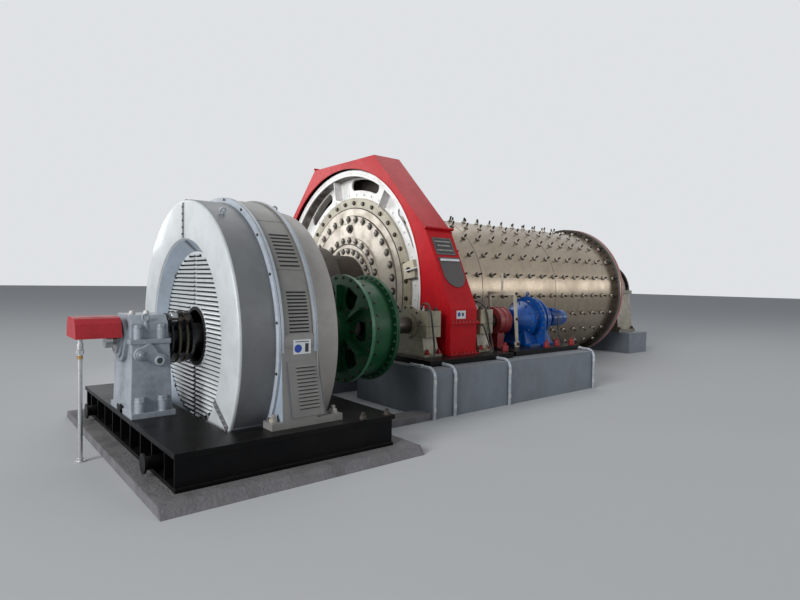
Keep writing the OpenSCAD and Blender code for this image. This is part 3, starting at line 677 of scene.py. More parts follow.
    STEEL = Finish("turned_steel", "steel", (0.45, 0.44, 0.43), 0.26, 0.95, soil=(0.12, 0.1, 0.08), soiling=0.4,
                   dusting=0.05)
    DARK_STEEL = Finish("oiled_steel", "steel", (0.12, 0.105, 0.09), 0.32, 0.8, soil=(0.04, 0.03, 0.025), soiling=0.6,
                        soil_scale=7.0, dusting=0.05)
    BOLT = Finish("grey_bolt", "black_paint", (0.3, 0.29, 0.27), 0.38, 0.8, soil=(0.12, 0.08, 0.05), soil_scale=12.0)
    NUT = Finish("light_nut", "steel", (0.42, 0.4, 0.37), 0.34, 0.6, soil=(0.16, 0.12, 0.08), soil_scale=12.0)
    # Near-black steel for studs and bolts; under the drive head's inner nuts it is painted shadow.
    STUD = Finish("dark_stud_and_shadow_disc", "steel", (0.06, 0.05, 0.042), 0.4, 0.6, soil=(0.03, 0.022, 0.016), soiling=0.6,
                  soil_scale=9.0, dusting=0.12)
    THREAD = Finish("dark_thread", "steel", (0.03, 0.024, 0.02), 0.45, 0.5, soil=(0.06, 0.045, 0.03), soiling=0.4,
                    soil_scale=14.0, dusting=0.05)
    RED_BOLT = Finish("red_bolt", "red_paint", (0.26, 0.012, 0.016), 0.36, soil=(0.09, 0.012, 0.014), soiling=0.4,
                      soil_scale=12.0, dusting=0.04, wear=0.2, bare=(0.4, 0.12, 0.12), spec=0.35)
    BLUE = Finish("gearbox_blue", "blue_paint", (0.001, 0.065, 0.3), 0.26, soil=(0.003, 0.024, 0.09), soiling=0.4,
                  soil_scale=5.0, dusting=0.03, wear=0.2, bare=(0.08, 0.22, 0.44), grain=80, bump=0.0012,
                  round_edge=0.006, coat=0.2, spec=0.35)
    BLUE_BOLT = Finish("blue_bolt", "blue_paint", (0.02, 0.08, 0.24), 0.34, 0.2, soiling=0.4, soil_scale=12.0,
                       dusting=0.15, wear=0.6)
    TAN = Finish("lever_tan", "olive_paint", (0.52, 0.47, 0.375), 0.42, soil=(0.15, 0.12, 0.09), soiling=0.45,
                 soil_scale=8.0, wear=0.3, round_edge=0.003)
    ZINC = Finish("zinc_pipe", "galvanised", (0.6, 0.61, 0.62), 0.32, 0.85, soil=(0.3, 0.3, 0.3), soil_scale=10.0)
    BRASS = Finish("brass", "steel", (0.55, 0.36, 0.12), 0.3, 0.9, soiling=0.3, soil_scale=10.0, dusting=0.0)
    CONDUIT = Finish("pale_conduit", "galvanised", (0.4, 0.44, 0.48), 0.36, 0.2, soil=(0.17, 0.18, 0.19),
                     soil_scale=8.0, dusting=0.08)
    STRIP = Finish("joint_strip_grey", "grey_paint", (0.12, 0.13, 0.15), 0.38, soiling=0.3, soil_scale=6.0,
                   dusting=0.05, wear=0.2)
    PLUG = Finish("pale_plug", "white_paint", (0.7, 0.69, 0.66), 0.4, soiling=0.2)
    RUBBER = Finish("black_rubber", "black_paint", (0.01, 0.01, 0.011), 0.45, soiling=0.3)
    # Near-black: painted shade in the louvre and grille slots and in the pedestal's notch; also the split lines and the
    # grille's hub ring.
    VENT = Finish("black_slot_shade_and_splits", "black_paint", (0.006, 0.006, 0.007), 0.8, soiling=0.0, dusting=0.0)
    GLASS = Finish("sight_glass_green", "black_paint", (0.01, 0.02, 0.014), 0.08, soiling=0.1, dusting=0.0, coat=0.6)
    COPPER = Finish("dull_copper_ring", "steel", (0.15, 0.1, 0.055), 0.34, 0.8, soiling=0.4, soil_scale=9.0,
                    dusting=0.0)
    PLATE = Finish("bare_plate", "black_paint", (0.016, 0.016, 0.018), 0.3, soil=(0.05, 0.05, 0.05), soiling=0.2,
                   dusting=0.02)
    FLAP = Finish("flap_dark_grey", "red_paint", (0.05, 0.046, 0.048), 0.38, soil=(0.1, 0.05, 0.05), soiling=0.4,
                  soil_scale=7.0, round_edge=0.004)
    SIGN = Finish("sign_white", "white_paint", (0.66, 0.68, 0.7), 0.35, soiling=0.1, dusting=0.0)
    SIGN_BLUE = Finish("sign_blue", "blue_paint", (0.01, 0.05, 0.35), 0.35, soiling=0.1, dusting=0.0)
    YELLOW = Finish("tag_yellow", "blue_paint", (0.65, 0.45, 0.02), 0.4, soiling=0.2)


# ---- the machine's sub-assemblies


class Assembly:
    """A group of the machine's pieces, nearly all of which ride on one body."""

    body: ClassVar[Body] = Body.PLANT

    def add(self, name: str, shape: Shape, finish: Finish, slot: str | None = None, bevel: float = 0.0,
            replaces: Sequence[str] = (), segments: int = 2, body: Body | None = None) -> None:
        """Put a shape into the scene as one finished piece.

        Args:
            name: Name of the piece.
            shape: Its surface, in place.
            finish: Its material.
            slot: Material slot of the record, in place of the finish's own; nothing uses it.
            bevel: Width of the bevel on its sharp edges, or 0.
            replaces: CAD nodes that it stands for.
            segments: Steps of the bevel.
            body: Body that it rides on, where it isn't the assembly's own.
        """
        slot = slot or finish.slot
        body = body or self.body
        me = bpy.data.meshes.new(name)
        me.from_pydata(shape.verts.tolist(), [], shape.faces)
        bm = bmesh.new()
        bm.from_mesh(me)
        bmesh.ops.remove_doubles(bm, verts=bm.verts, dist=1e-5)
        bmesh.ops.recalc_face_normals(bm, faces=bm.faces)
        bm.to_mesh(me)
        bm.free()
        me.polygons.foreach_set("use_smooth", np.ones(len(me.polygons), bool))
        me.set_sharp_from_angle(angle=SHARP_ANGLE)
        me.materials.append(finish.build())
        o = bpy.data.objects.new(name, me)
        bpy.context.scene.collection.objects.link(o)
        if bevel:
            b = o.modifiers.new("round", "BEVEL")
            b.width, b.segments, b.limit_method, b.angle_limit = bevel, segments, "ANGLE", SHARP_ANGLE
            b.harden_normals = True
        if replaces:
            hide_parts(*replaces)
        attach(o, body.value)
        LOG.info("piece %s: %d faces", name, len(me.polygons))


@dataclass
class Foundations(Assembly):
    """Concrete, painted grey, with the conduits and anchor bolts on it."""

    anchor_x: tuple[float, ...] = (1.79, 2.70, 3.05, 3.36)
    conduit_x: tuple[float, ...] = (0.014, 0.358, 1.393, 3.440)

    def build(self) -> None:
        """Dress the concrete, bend the conduits and set the red anchor bolts."""
        Paint.PAD.dress("motor_pad")
        Paint.CONCRETE.dress("pinion_plinth", "drive_pier", "feed_pier")
        self.anchors()
        self.conduits()

    def anchors(self) -> None:
        """Big red anchor nuts along the sole plates, each with its washer and stud."""
        part = stack([(4, 0.058, 0.0, 0.012, 0.002), (6, 0.044, 0.012, 0.078, 0.005),
                      (10, 0.017, 0.07, 0.118, 0.004)])
        x = np.array(self.anchor_x)
        y = -2.70 - np.where(np.arange(len(x)) % 2 == 0, 0.0, 0.06)
        p = np.stack([x, y, np.full(len(x), SOLE_TOP)], 1)
        self.add("anchor_bolts", repeated(part, p, UP), Paint.RED_BOLT)

    def conduits(self) -> None:
        """Conduits that rise up the plinth's face and bend over its edge, with their threaded collars."""
        y, top = -3.1183, PLINTH_TOP + 0.0213
        runs, collars = [], []
        for x, end in zip(self.conduit_x, (-2.66, -2.70, -2.74, -2.66)):
            q = np.linspace(0, math.pi / 2, 9)
            bend = np.stack([np.full(9, x), y + 0.11 - 0.11 * np.cos(q), top - 0.11 + 0.11 * np.sin(q)], 1)
            path = np.vstack([[x, y, SHOP_FLOOR], [x, y, 0.86], bend, [x, -2.93, top], [x + 0.01, end, top]])
            runs.append(tube(path, 0.021, 16))
            for z in (0.80, 1.13):
                collars.append(tube(np.array([[x, y, z], [x, y, z + 0.05]]), 0.025))
            collars.append(tube(np.array([[x, -2.90, top + 0.003], [x, -2.86, top + 0.003]]), 0.024))
        self.add("conduit_runs", joined(runs), Paint.CONDUIT, replaces=("cable_conduits",))
        self.add("conduit_collars", joined(collars), Paint.ZINC)


@dataclass
class MotorBed(Assembly):
    """Black fabricated bed under the motor."""

    bolt_x: tuple[float, ...] = (-1.50, -1.22)
    bolt_y: float = 1.52

    def build(self) -> None:
        """Dress the bed and add its hold-down bolts."""
        Paint.BLACK.dress("motor_bed")
        p = grid(self.bolt_x, beside_drive(self.bolt_y), BED_TOP)
        self.add("bed_bolts", repeated(bolt(0.036, tail=0.03), p, UP), Paint.STUD, "black_paint")


@dataclass
class Motor(Assembly):
    """Stator, covers, louvres, grille and the visible rotor."""

    front: float = -2.621
    flange_a: float = -2.268
    flange_b: float = -1.929
    radius: float = 1.381
    opening: float = 0.965
    recess: float = -2.493
    slats: int = 38
    slat_pitch: float = 0.0435
    slot_x: tuple[float, float] = (-2.182, -1.992)
    panel: float = 0.003

    def build(self) -> None:
        """Make every piece of the motor."""
        Paint.BAND.dress("stator_frame")
        Paint.REAR.dress("rear_cover")
        Paint.GEAR.dress("rotor_wheel")
        Paint.STEEL.dress("motor_shaft")
        self.cover()
        self.grille()
        self.flanges()
        self.panels()
        self.louvres()
        self.side_louvres()
        self.joints()
        self.fittings()

    def cover(self) -> None:
        """Front cover: a deep drum with a rounded front edge and a coned wall down to the grille."""
        r, x = self.radius, self.front
        q = np.linspace(0, math.pi / 2, 6)
        rim = [(x + 0.018 - 0.018 * math.sin(a), r - 0.054 + 0.018 * math.cos(a)) for a in q]
        lip = [(x + 0.014 - 0.014 * math.cos(a), self.opening + 0.014 - 0.014 * math.sin(a)) for a in q]
        out = [(self.flange_a - GAP, r - 0.036)] + rim + lip + [
            (self.recess + 0.012, 0.850), (self.recess + 0.012, 0.862), (x + 0.016, 0.976), (x + 0.012, r - 0.075),
            (self.flange_a - GAP, r - 0.048)]
        self.add("front_cover_drum", lathe(out, DRIVE, 200), Paint.MOTOR, replaces=("front_cover",))
        wrap = hoop(x + 0.026, self.flange_a - 0.03, r - 0.0355, r - 0.030, DRIVE, 200)
        self.add("front_cover_wrap", wrap, Paint.WRAP)
        # The coned wall down to the grille is in the darker, bluer grey: painted shade in the recess.
        cone = lathe([(x + 0.020, self.opening - 0.0055), (self.recess + 0.008, 0.8505),
                      (self.recess + 0.008, 0.8492), (x + 0.020, self.opening - 0.0068)], DRIVE, 200)
        self.add("recess_wall", cone, Paint.RECESS)

    def grille(self) -> None:
        """Round grille: a plate with a hub hole and two columns of close hooded slots; the dark strips under the hoods,
        the notches between them and the blocks at their outer ends are painted shade.
        """
        x = self.recess
        plate = hoop(x, x + 0.008, 0.29, 0.8492, DRIVE, 160)
        self.add("grille_plate", plate, Paint.MOTOR, replaces=("front_grille",))
        hoods, slots = [], []
        for i in range(self.slats):
            z = (i - (self.slats - 1) / 2) * self.slat_pitch
            reach = math.sqrt(max(0.0, 0.832**2 - (abs(z) + 0.016)**2))
            inner = abs(z) - 0.018
            near = math.sqrt(max(0.0, 0.306**2 - max(0.0, inner)**2)) if inner < 0.306 else 0.0
            zc = DRIVE_Z + z
            # Away from the hub hole, a dark notch between the two hoods' ends: painted shade.
            if near == 0.0:
                slots.append(box((x - 0.0022, DRIVE_Y - 0.016, zc - 0.014), (x - GAP, DRIVE_Y + 0.016, zc + 0.006)))
            for side in (-1, 1):
                y0, y1 = max(near, 0.024), reach
                if y1 - y0 < 0.04:
                    continue
                ya, yb = sorted((DRIVE_Y + side * y0, DRIVE_Y + side * y1))
                hoods.append(prism([(x - GAP, zc + 0.021), (x - 0.014, zc + 0.005), (x - 0.014, zc + 0.002),
                                    (x - 0.012, zc + 0.002), (x - GAP, zc + 0.012)], Axis.Y, ya, yb))
                # Dark strip under the hood: painted shade.
                slots.append(box((x - 0.0013, ya + 0.003, zc - 0.015), (x - GAP, yb - 0.003, zc + 0.011)))
                # Dark block at the slat's outer end: painted shade where the recess's shadow falls.
                ye = DRIVE_Y + side * (reach + 0.008)
                slots.append(box((x - 0.016, ye - 0.009, zc - 0.015), (x - GAP, ye + 0.009, zc + 0.010)))
        self.add("grille_hoods", joined(hoods), Paint.MOTOR)
        self.add("grille_slots", joined(slots), Paint.VENT)
        hub = hoop(x - 0.010, x + 0.020, 0.262, 0.296, DRIVE, 96)
        self.add("grille_hub_ring", hub, Paint.VENT)
        clips = repeated(stack([(4, 0.026, 0, 0.012, 0.002), (8, 0.009, 0.012, 0.02, 0.002)]),
                         ring_points(x - GAP, 0.838, 4, DRIVE, 45.0), TO_MOTOR)
        self.add("grille_clips", clips, Paint.STUD)

    def flanges(self) -> None:
        """Bright double rings where the covers meet the stator, with sparse dark bolts."""
        r = self.radius
        rings = [hoop(x, x + w, r - 0.034, r + 0.0195, DRIVE, 200)
                 for x, w in ((self.flange_a - 0.0245, 0.0205), (self.flange_b + 0.0035, 0.014))]
        self.add("cover_flanges", joined(rings), Paint.RIM)
        rims = [hoop(x, x + 0.0236, r + 0.0203, r + 0.0228, DRIVE, 200)
                for x in (self.flange_a + 0.0002, self.flange_b - 0.0238)]
        self.add("flange_rims", joined(rims), Paint.RIM, "white_paint")
        seam = hoop(self.flange_a + 0.0243, self.flange_a + 0.029, r + 0.0004, r + 0.004, DRIVE, 200)
        self.add("band_seam", seam, Paint.SEAM)
        a = repeated(bolt(0.014, washer=False), ring_points(self.flange_a - 0.0245, r + 0.001, 20, DRIVE, 9),
                     TO_MOTOR)
        b = repeated(bolt(0.014, washer=False), ring_points(self.flange_b + 0.0178, r + 0.001, 20, DRIVE, 9), TO_FEED)
        self.add("stator_bolts", a + b, Paint.STUD)

    def panels(self) -> None:
        """Sheet panels round the band with thin seams between them."""
        x0, x1 = self.flange_a + 0.030, self.flange_b - 0.030
        cuts = (-5.4, 3.8, 28.8, 54.3, 90.0, 125.7, 151.2, 176.2, 185.4)
        parts = [patch(self.radius + GAP, DRIVE, x0, x1, a + 0.16, b - 0.16, self.panel)
                 for a, b in zip(cuts, cuts[1:])]
        self.add("band_panels", joined(parts), Paint.BAND)

    def louvres(self) -> None:
        """Pressed louvres in the band's panels: a narrow lip over a dark slot of painted shade, each running along X.
        """
        r = self.radius + GAP + self.panel
        x0, x1 = self.slot_x
        lips, darks = [], []
        for first, last, count in ((134.5, 149.3, 9), (159.9, 174.3, 12)):
            for c in np.linspace(first, last, count):
                for a, up in ((c, -1.0), (180.0 - c, 1.0)):
                    lo, hi = sorted((a - up * 0.42, a + up * 0.14))
                    # Dark strip under the lip: painted shade.
                    darks.append(patch(r, DRIVE, x0, x1, lo, hi, 0.0012, 2))
                    lo, hi = sorted((a + up * 0.12, a + up * 0.36))
                    lips.append(patch(r, DRIVE, x0 - 0.003, x1 + 0.003, lo, hi, 0.007, 2))
        self.add("louvre_lips", joined(lips), Paint.BAND)
        self.add("louvre_slots", joined(darks), Paint.VENT)

    def _on_flank(self, section: Sequence[tuple[float, float]], x0: float, x1: float) -> Shape:
        """Bar along X on the stator's flat flank, sheared to lean with its cover panel.

        Args:
            section: Corner points, each as distance proud of the flank and height.
            x0: Near end of the bar.
            x1: Far end of the bar.

        Returns:
            The bar in place.
        """
        s = prism([(FLANK_Y - (DRIVE_Z - z) * FLANK_SLOPE - proud, z) for proud, z in section], Axis.X, x0, x1)
        lean = (1.64 - s.verts[:, 2]) * np.interp(s.verts[:, 0], (-2.23, -1.92), (0.085, 0.125))
        return s.moved(np.stack([lean, 0 * lean, 0 * lean], 1))

    def _strip(self, low: float, high: float, proud: float, x0: float, x1: float) -> Shape:
        """Flat bar on the flank between two heights."""
        return self._on_flank([(0.0, low), (0.0, high), (proud, high), (proud, low)], x0, x1)

    def side_louvres(self) -> None:
        """Lower louvre banks on the stator's flat flanks, each on its own leaning cover panel."""
        heights = np.linspace(1.588, 1.232, 12)
        # Dark strips under the lips: painted shade.
        slots = [self._strip(z - 0.0115, z + 0.002, 0.0052, -2.143, -1.959) for z in heights]
        lip = ((0.00411, 0.012), (0.01316, 0.003), (0.01289, -0.002), (0.00416, 0.003))
        lips = [self._on_flank([(proud, z + up) for proud, up in lip], -2.147, -1.955) for z in heights]
        lips.append(self._strip(1.155, 1.638, 0.0045, -2.222, -1.922))
        borders = [self._strip(1.155, high, 0.0065, x0, x1)
                   for high, x0, x1 in ((1.640, -2.233, -2.2235), (1.700, -1.920, -1.910))]
        for name, parts, finish in (("side_louvre_lips", lips, Paint.BAND), ("side_louvre_slots", slots, Paint.VENT),
                                    ("side_louvre_borders", borders, Paint.STRIP)):
            self.add(name, both_sides(joined(parts)), finish)

    def _seam_bolts(self, name: str, size: float, angle: float, lift: float, finish: Finish) -> None:
        """Row of bolts along a joint of the cover's face.

        Args:
            name: Name of the piece.
            size: Shank diameter.
            angle: Where the joint lies, in degrees.
            lift: Height of the strip under the bolts.
            finish: Their finish.
        """
        t = math.radians(angle)
        r = np.linspace(self.opening + 0.05, self.radius - 0.10, 5)
        p = np.stack([np.full(5, self.front - lift), DRIVE_Y + r * math.cos(t), DRIVE_Z + r * math.sin(t)], 1)
        self.add(name, repeated(bolt(size), p, TO_MOTOR), finish)

    def joints(self) -> None:
        """Front cover's joints: a dark strip on top, darkened with the painted shade of its groove, and a raised bolted
        strip low on each side.
        """
        r, x, near = self.radius, self.front, self.opening
        seam = box((x - 0.006, -0.023, near + 0.012), (x - 0.0001, 0.023, r - 0.056))
        seam += prism([(x + 0.022, near - 0.008), (self.recess - 0.002, 0.862), (self.recess - 0.004, 0.852),
                       (x + 0.016, near - 0.020)], Axis.Y, -0.026, 0.026)
        seam += box((x + 0.02, -0.016, r - 0.0299), (self.flange_a - 0.03, 0.016, r - 0.024))
        # Top joint strip in dark grey: the joint's own strip with the shade of its groove painted in.
        self.add("cover_seam", seam.moved((0, *DRIVE)), Paint.STRIP, bevel=0.002)
        self._seam_bolts("cover_seam_bolts", 0.010, 90.0, 0.006, Paint.STUD)
        for k, a in enumerate((211.5, -31.5)):
            strip = box((x - 0.008, -0.030, near + 0.01), (x - GAP, 0.030, r - 0.058))
            strip += box((x + 0.01, -0.030, r - 0.0297), (self.flange_a - 0.03, 0.030, r - 0.020))
            self.add(f"cover_joint_{k}", strip.moved((0, *DRIVE)).turned_x(a - 90, DRIVE), Paint.STRIP, bevel=0.003)
            self._seam_bolts(f"cover_joint_bolts_{k}", 0.013, a, 0.008, Paint.NUT)

    def fittings(self) -> None:
        """Stator cheeks and flats, a bare tag with a blue disc and dark marks, two lifting eyes and the foot bolts."""
        ring = [(DRIVE_Y - math.sqrt(1.385**2 - (z - DRIVE_Z)**2), z) for z in np.linspace(1.136, 1.73, 12)]
        cheek = prism([(FLANK_Y, 1.74), (-3.6785, 1.136)] + ring, Axis.X, self.flange_a - 0.0013, self.flange_a - GAP)
        # The cheeks take the darker, bluer grey: painted shade on their faces.
        self.add("stator_cheeks", both_sides(cheek), Paint.RECESS)
        flat = prism([(-3.600, 1.7563), (FLANK_Y, 1.7563), (FLANK_Y, 1.835), (-3.6262, 1.880), (-3.600, 1.880)],
                     Axis.X, -2.241, -1.956)
        flat += prism([(-1.9288, 1.72), (-1.9288, 1.136), (-1.870, 1.136)], Axis.Y, -3.6665, -3.560)
        self.add("band_flats", both_sides(flat), Paint.BAND, bevel=0.002)
        self.add("band_tag", box((-2.158, -3.6487, 1.690), (-1.988, -3.6462, 1.824)), Paint.SIGN)
        self.add("band_tag_disc", prism(circle(-2.114, 1.748, 0.036, 20), Axis.Y, -3.6497, -3.6488), Paint.SIGN_BLUE)
        mark = box((-2.045, -3.6497, 1.715), (-2.012, -3.6488, 1.790))
        mark += box((-2.140, -3.6493, 1.803), (-2.010, -3.6488, 1.810))
        self.add("band_tag_mark", mark, Paint.PLATE)
        for name, x, r, a in (("cover_eye", -2.492, self.radius - 0.0297, 119.5),
                              ("rear_eye", -1.80, self.radius - 0.062, 104.0)):
            s = eye((0.0, 0.0, 0.032), 0.024, 0.009, 20) + stack([(12, 0.020, 0.0, 0.010, 0.003)])
            self.add(name, s.moved((x, DRIVE_Y, DRIVE_Z + r)).turned_x(a - 90, DRIVE), Paint.RIM)
        p = grid((-2.318, -1.72, -1.88), beside_drive(1.355), BED_TOP + 0.0606)
        self.add("foot_bolts", repeated(bolt(0.042, tail=0.030), p, UP), Paint.NUT)


@dataclass
class Pedestals(Assembly):
    """Shaft bearings of the motor, with the slip rings, brush gear and air union."""

    x0: float = -3.2
    side: float = -2.5525

    def build(self) -> None:
        """Dress the pedestals and add what is bolted to them."""
        Paint.CAST.dress("front_pedestal", "rear_pedestal")
        Paint.DARK.dress("brush_gear")
        Paint.COLLAR.dress("slip_rings")
        Paint.GUARD_BOX.dress("air_union_guard")
        Paint.ZINC.dress("air_supply_pipe")
        self.caps()
        self.oil_cover()
        self.rings()
        self.pipe_fittings()

    def caps(self) -> None:
        """Nuts on the cap's and the base's bosses, the two plugs, the eyebolt, and a black plate of painted shade in
        the foot's notch.
        """
        x = (-3.105, -2.905)
        heads = repeated(bolt(0.040), grid(x, beside_drive(0.268), 1.8763), UP)
        heads += repeated(bolt(0.050), grid(x, beside_drive(0.334), 1.2199), UP)
        self.add("pedestal_bolts", heads, Paint.CAST)
        plugs = repeated(stack([(20, 0.031, 0, 0.011, 0.003), (20, 0.023, 0.011, 0.030, 0.004)]),
                         grid((-3.092, -2.965), (DRIVE_Y,), DRIVE_Z + 0.2363), UP)
        self.add("pedestal_plugs", plugs, Paint.PLUG)
        shank = tube([[-3.034, -2.500, 1.855], [-3.035, -2.505, 1.905], [-3.040, -2.510, 1.945]],
                     [0.024, 0.022, 0.014])
        self.add("pedestal_eye", eye((-3.043, -2.512, 1.972), 0.027, 0.0105) + shank, Paint.CAST)
        half = [(0.055, 1.0758), (0.055, 1.125), (0.035, 1.150)]
        notch = [(DRIVE_Y + 0.04 + a, z) for a, z in half + [(-a, z) for a, z in half[::-1]]]
        # Black plate in the foot's notch: painted shade.
        self.add("pedestal_notch", prism(notch, Axis.X, self.x0 - 0.0008, self.x0 - 0.0001), Paint.VENT)

    def oil_cover(self) -> None:
        """Kidney-shaped oil cover on the open side, with a capped port at one end and a sight glass at the other."""
        y = self.side
        loop = [(-3.155, 1.650), (-3.128, 1.694), (-3.080, 1.712), (-3.030, 1.738), (-2.982, 1.718), (-2.944, 1.655),
                (-2.890, 1.628), (-2.866, 1.582), (-2.890, 1.536), (-2.940, 1.526), (-2.990, 1.562), (-3.052, 1.594),
                (-3.110, 1.588), (-3.148, 1.610)]
        pts = np.array(loop)
        ring = smooth_path(np.c_[np.vstack([pts[-1:], pts, pts[:2]]), np.zeros(len(pts) + 3)], 5)[5:-6, :2]
        self.add("oil_cover", prism(ring, Axis.Y, y - 0.026, y + 0.02), Paint.CAST, bevel=0.007, segments=3)
        ends = np.array([(-3.100, y - 0.026, 1.640), (-2.938, y - 0.026, 1.580)])
        caps = repeated(stack([(24, 0.038, 0, 0.014, 0.003), (6, 0.020, 0.014, 0.030, 0.003)]), ends[:1],
                        TO_PINION_SIDE)
        self.add("oil_port", caps, Paint.CAST)
        ring = lathe([(0, 0.027), (0, 0.043), (0.012, 0.043), (0.016, 0.039), (0.016, 0.027)], (0, 0), 32).swapped()
        self.add("sight_glass_ring", repeated(ring, ends[1:], TO_PINION_SIDE), Paint.RIM, "mid_grey")
        glass = repeated(stack([(24, 0.0272, 0, 0.008, 0.001)]), ends[1:], TO_PINION_SIDE)
        self.add("sight_glass", glass, Paint.GLASS)

    def rings(self) -> None:
        """Dull bands on the slip rings and the shiny brush holder above them."""
        for k, x in enumerate((-2.736, -2.665)):
            band = hoop(x + 0.007, x + 0.018, 0.2542, 0.2562, DRIVE, 96)
            self.add(f"ring_band_{k}", band, Paint.COPPER, body=Body.ROTOR)
        block = prism(rounded(0.10, 0.09, 0.03), Axis.X, -2.802, -2.742).moved((0, DRIVE_Y - 0.185, DRIVE_Z + 0.205))
        self.add("brush_block", block, Paint.ZINC, "steel", bevel=0.006)

    def pipe_fittings(self) -> None:
        """Union nut, brass bit and floor flange of the air pipe."""
        x, y = self.x0 - 0.338, DRIVE_Y - 0.095
        nut = [(6, 0.033, 0.0, 0.040, 0.004), (16, 0.029, 0.046, 0.060, 0.003)]
        brass = [(16, 0.024, 0.0, 0.030, 0.003)]
        foot = [(20, 0.040, 0.0, 0.010, 0.002), (16, 0.026, 0.010, 0.035, 0.003)]
        for name, layers, z, finish in (("pipe_union", nut, DRIVE_Z - 0.10, Paint.ZINC),
                                        ("pipe_brass", brass, DRIVE_Z - 0.145, Paint.BRASS),
                                        ("pipe_foot", foot, SHOP_FLOOR + 0.0005, Paint.ZINC)):
            self.add(name, stack(layers).moved((x, y, z)), finish)


@dataclass
class Clutch(Assembly):
    """Green air clutch between motor and pinion."""

    body: ClassVar[Body] = Body.ROTOR
    spider_x: float = -0.754
    rim_x: float = -0.730
    length: float = 0.384
    radius: float = 0.650

    def build(self) -> None:
        """Dress the clutch and bolt its flanges."""
        Paint.GREEN.dress("clutch_spider", "clutch_rim", "clutch_drum")
        r, far, face = self.radius, self.rim_x + self.length, self.spider_x - GAP
        near = repeated(bolt(0.019), ring_points(face, r - 0.032, 24, DRIVE, 4), TO_MOTOR)
        near += repeated(bolt(0.022), ring_points(face, 0.262, 12, DRIVE, 4), TO_MOTOR)
        p = ring_points(-0.610, 0.5903, 24, DRIVE, 11.5)
        near += repeated(bolt(0.017, washer=False), p, radial(p, DRIVE))
        self.add("clutch_bolts", near, Paint.STUD, "green_paint")
        row = repeated(bolt(0.018, tail=0.010), ring_points(far - 0.0503, r - 0.028, 40, DRIVE, 2), TO_MOTOR)
        row += repeated(bolt(0.018), ring_points(far + GAP, r - 0.028, 40, DRIVE, 2), TO_FEED)
        self.add("clutch_far_bolts", row, Paint.GREEN_BOLT)
        self.add("clutch_split", hoop(far - 0.027, far - 0.023, r - 0.001, r + 0.0008, DRIVE, 128), Paint.VENT,
                 "green_paint")
        # Lighter green band round the spider's outer edge.
        edge = hoop(self.spider_x + 0.002, self.spider_x + 0.046, r + GAP, r + 0.0012, DRIVE, 128)
        self.add("clutch_edge", edge, Paint.GREEN_EDGE)
        x = self.rim_x
        step = lathe([(x + 0.0245, 0.5903), (x + 0.0245, 0.602), (x + 0.085, 0.602), (x + 0.092, 0.5903)], DRIVE, 128)
        self.add("clutch_step", step, Paint.GREEN)


@dataclass
class PinionDrive(Assembly):
    """Pinion, its shaft and bearings on the black sole plate."""

    centres: tuple[float, float] = (0.465, 1.495)

    def build(self) -> None:
        """Dress and detail the pinion drive."""
        Paint.OLIVE.dress("near_pinion_bearing", "far_pinion_bearing")
        Paint.BLACK.dress("pinion_sole_plate", "slow_drive_base")
        Paint.DARK_STEEL.dress("pinion_shaft")
        Paint.GEAR.dress("pinion")
        self.bolts()
        self.hoses()

    def bolts(self) -> None:
        """Cap bolts, foot nuts, top plugs, the split line and the cover's ring of small bolts."""
        bolts, plugs, foot, seam = [], [], [], []
        top, low, high = DRIVE_Z + 0.2003, DRIVE_Z - 0.003, DRIVE_Z + 0.003
        plug = stack([(16, 0.034, 0, 0.018, 0.003), (16, 0.024, 0.018, 0.06, 0.006)])
        for x in self.centres:
            bolts.append(repeated(bolt(0.034, tail=0.02), grid((x - 0.08, x + 0.08), beside_drive(0.30), top), UP))
            foot.append(repeated(bolt(0.040, tail=0.03),
                                 grid((x - 0.1, x + 0.1), (DRIVE_Y - 0.345,), SOLE_TOP + 0.0363), UP))
            plugs.append(repeated(plug, grid((x,), (DRIVE_Y - 0.13,), top), UP))
            for s in (x - 0.1253, x + 0.1253):
                seam.append(box((s - 0.0008, DRIVE_Y - 0.35, low), (s + 0.0008, DRIVE_Y + 0.35, high)))
            seam.append(box((x - 0.125, DRIVE_Y - 0.3562, low), (x + 0.125, DRIVE_Y - 0.3552, high)))
        self.add("bearing_bolts", joined(bolts), Paint.STUD, "olive_paint")
        self.add("bearing_foot_bolts", joined(foot), Paint.RED_BOLT)
        self.add("bearing_plugs", joined(plugs), Paint.PLUG)
        self.add("bearing_splits", joined(seam), Paint.VENT)
        x = self.centres[0] - 0.1253
        cover = [(x - 0.012, 0.168), (x - 0.012, 0.262), (x - 0.010, 0.265), (x, 0.265), (x, 0.168)]
        self.add("bearing_cover", lathe(cover, DRIVE, 72, 12.0, 156.0), Paint.OLIVE)
        small = repeated(bolt(0.016, washer=False), ring_points(x - 0.012, 0.243, 6, DRIVE, 15.0, 180.0), TO_MOTOR)
        self.add("bearing_cover_bolts", small, Paint.STUD)

    def hoses(self) -> None:
        """Black lubrication and sensor hoses from the bearings over to the plinth's conduits."""
        runs = (((0.44, -2.38, 1.957), (0.43, -2.42, 2.035), (0.40, -2.55, 2.045), (0.385, -2.625, 1.950),
                 (0.420, -2.640, 1.680), (0.445, -2.645, 1.430), (0.40, -2.66, 1.335), (0.368, -2.71, 1.3095)),
                ((1.46, -2.36, 1.957), (1.40, -2.42, 2.060), (1.42, -2.55, 2.045), (1.47, -2.610, 1.930),
                 (1.515, -2.620, 1.720), (1.566, -2.630, 1.517), (1.56, -2.66, 1.400), (1.46, -2.72, 1.325),
                 (1.403, -2.76, 1.3095)), ((1.39, -2.606, 1.742), (1.37, -2.650, 1.735), (1.41, -2.660, 1.640),
                                           (1.47, -2.665, 1.500), (1.50, -2.68, 1.400), (1.43, -2.73, 1.316)))
        self.add("bearing_hoses", joined([tube(smooth_path(p), 0.0125) for p in runs]), Paint.RUBBER)


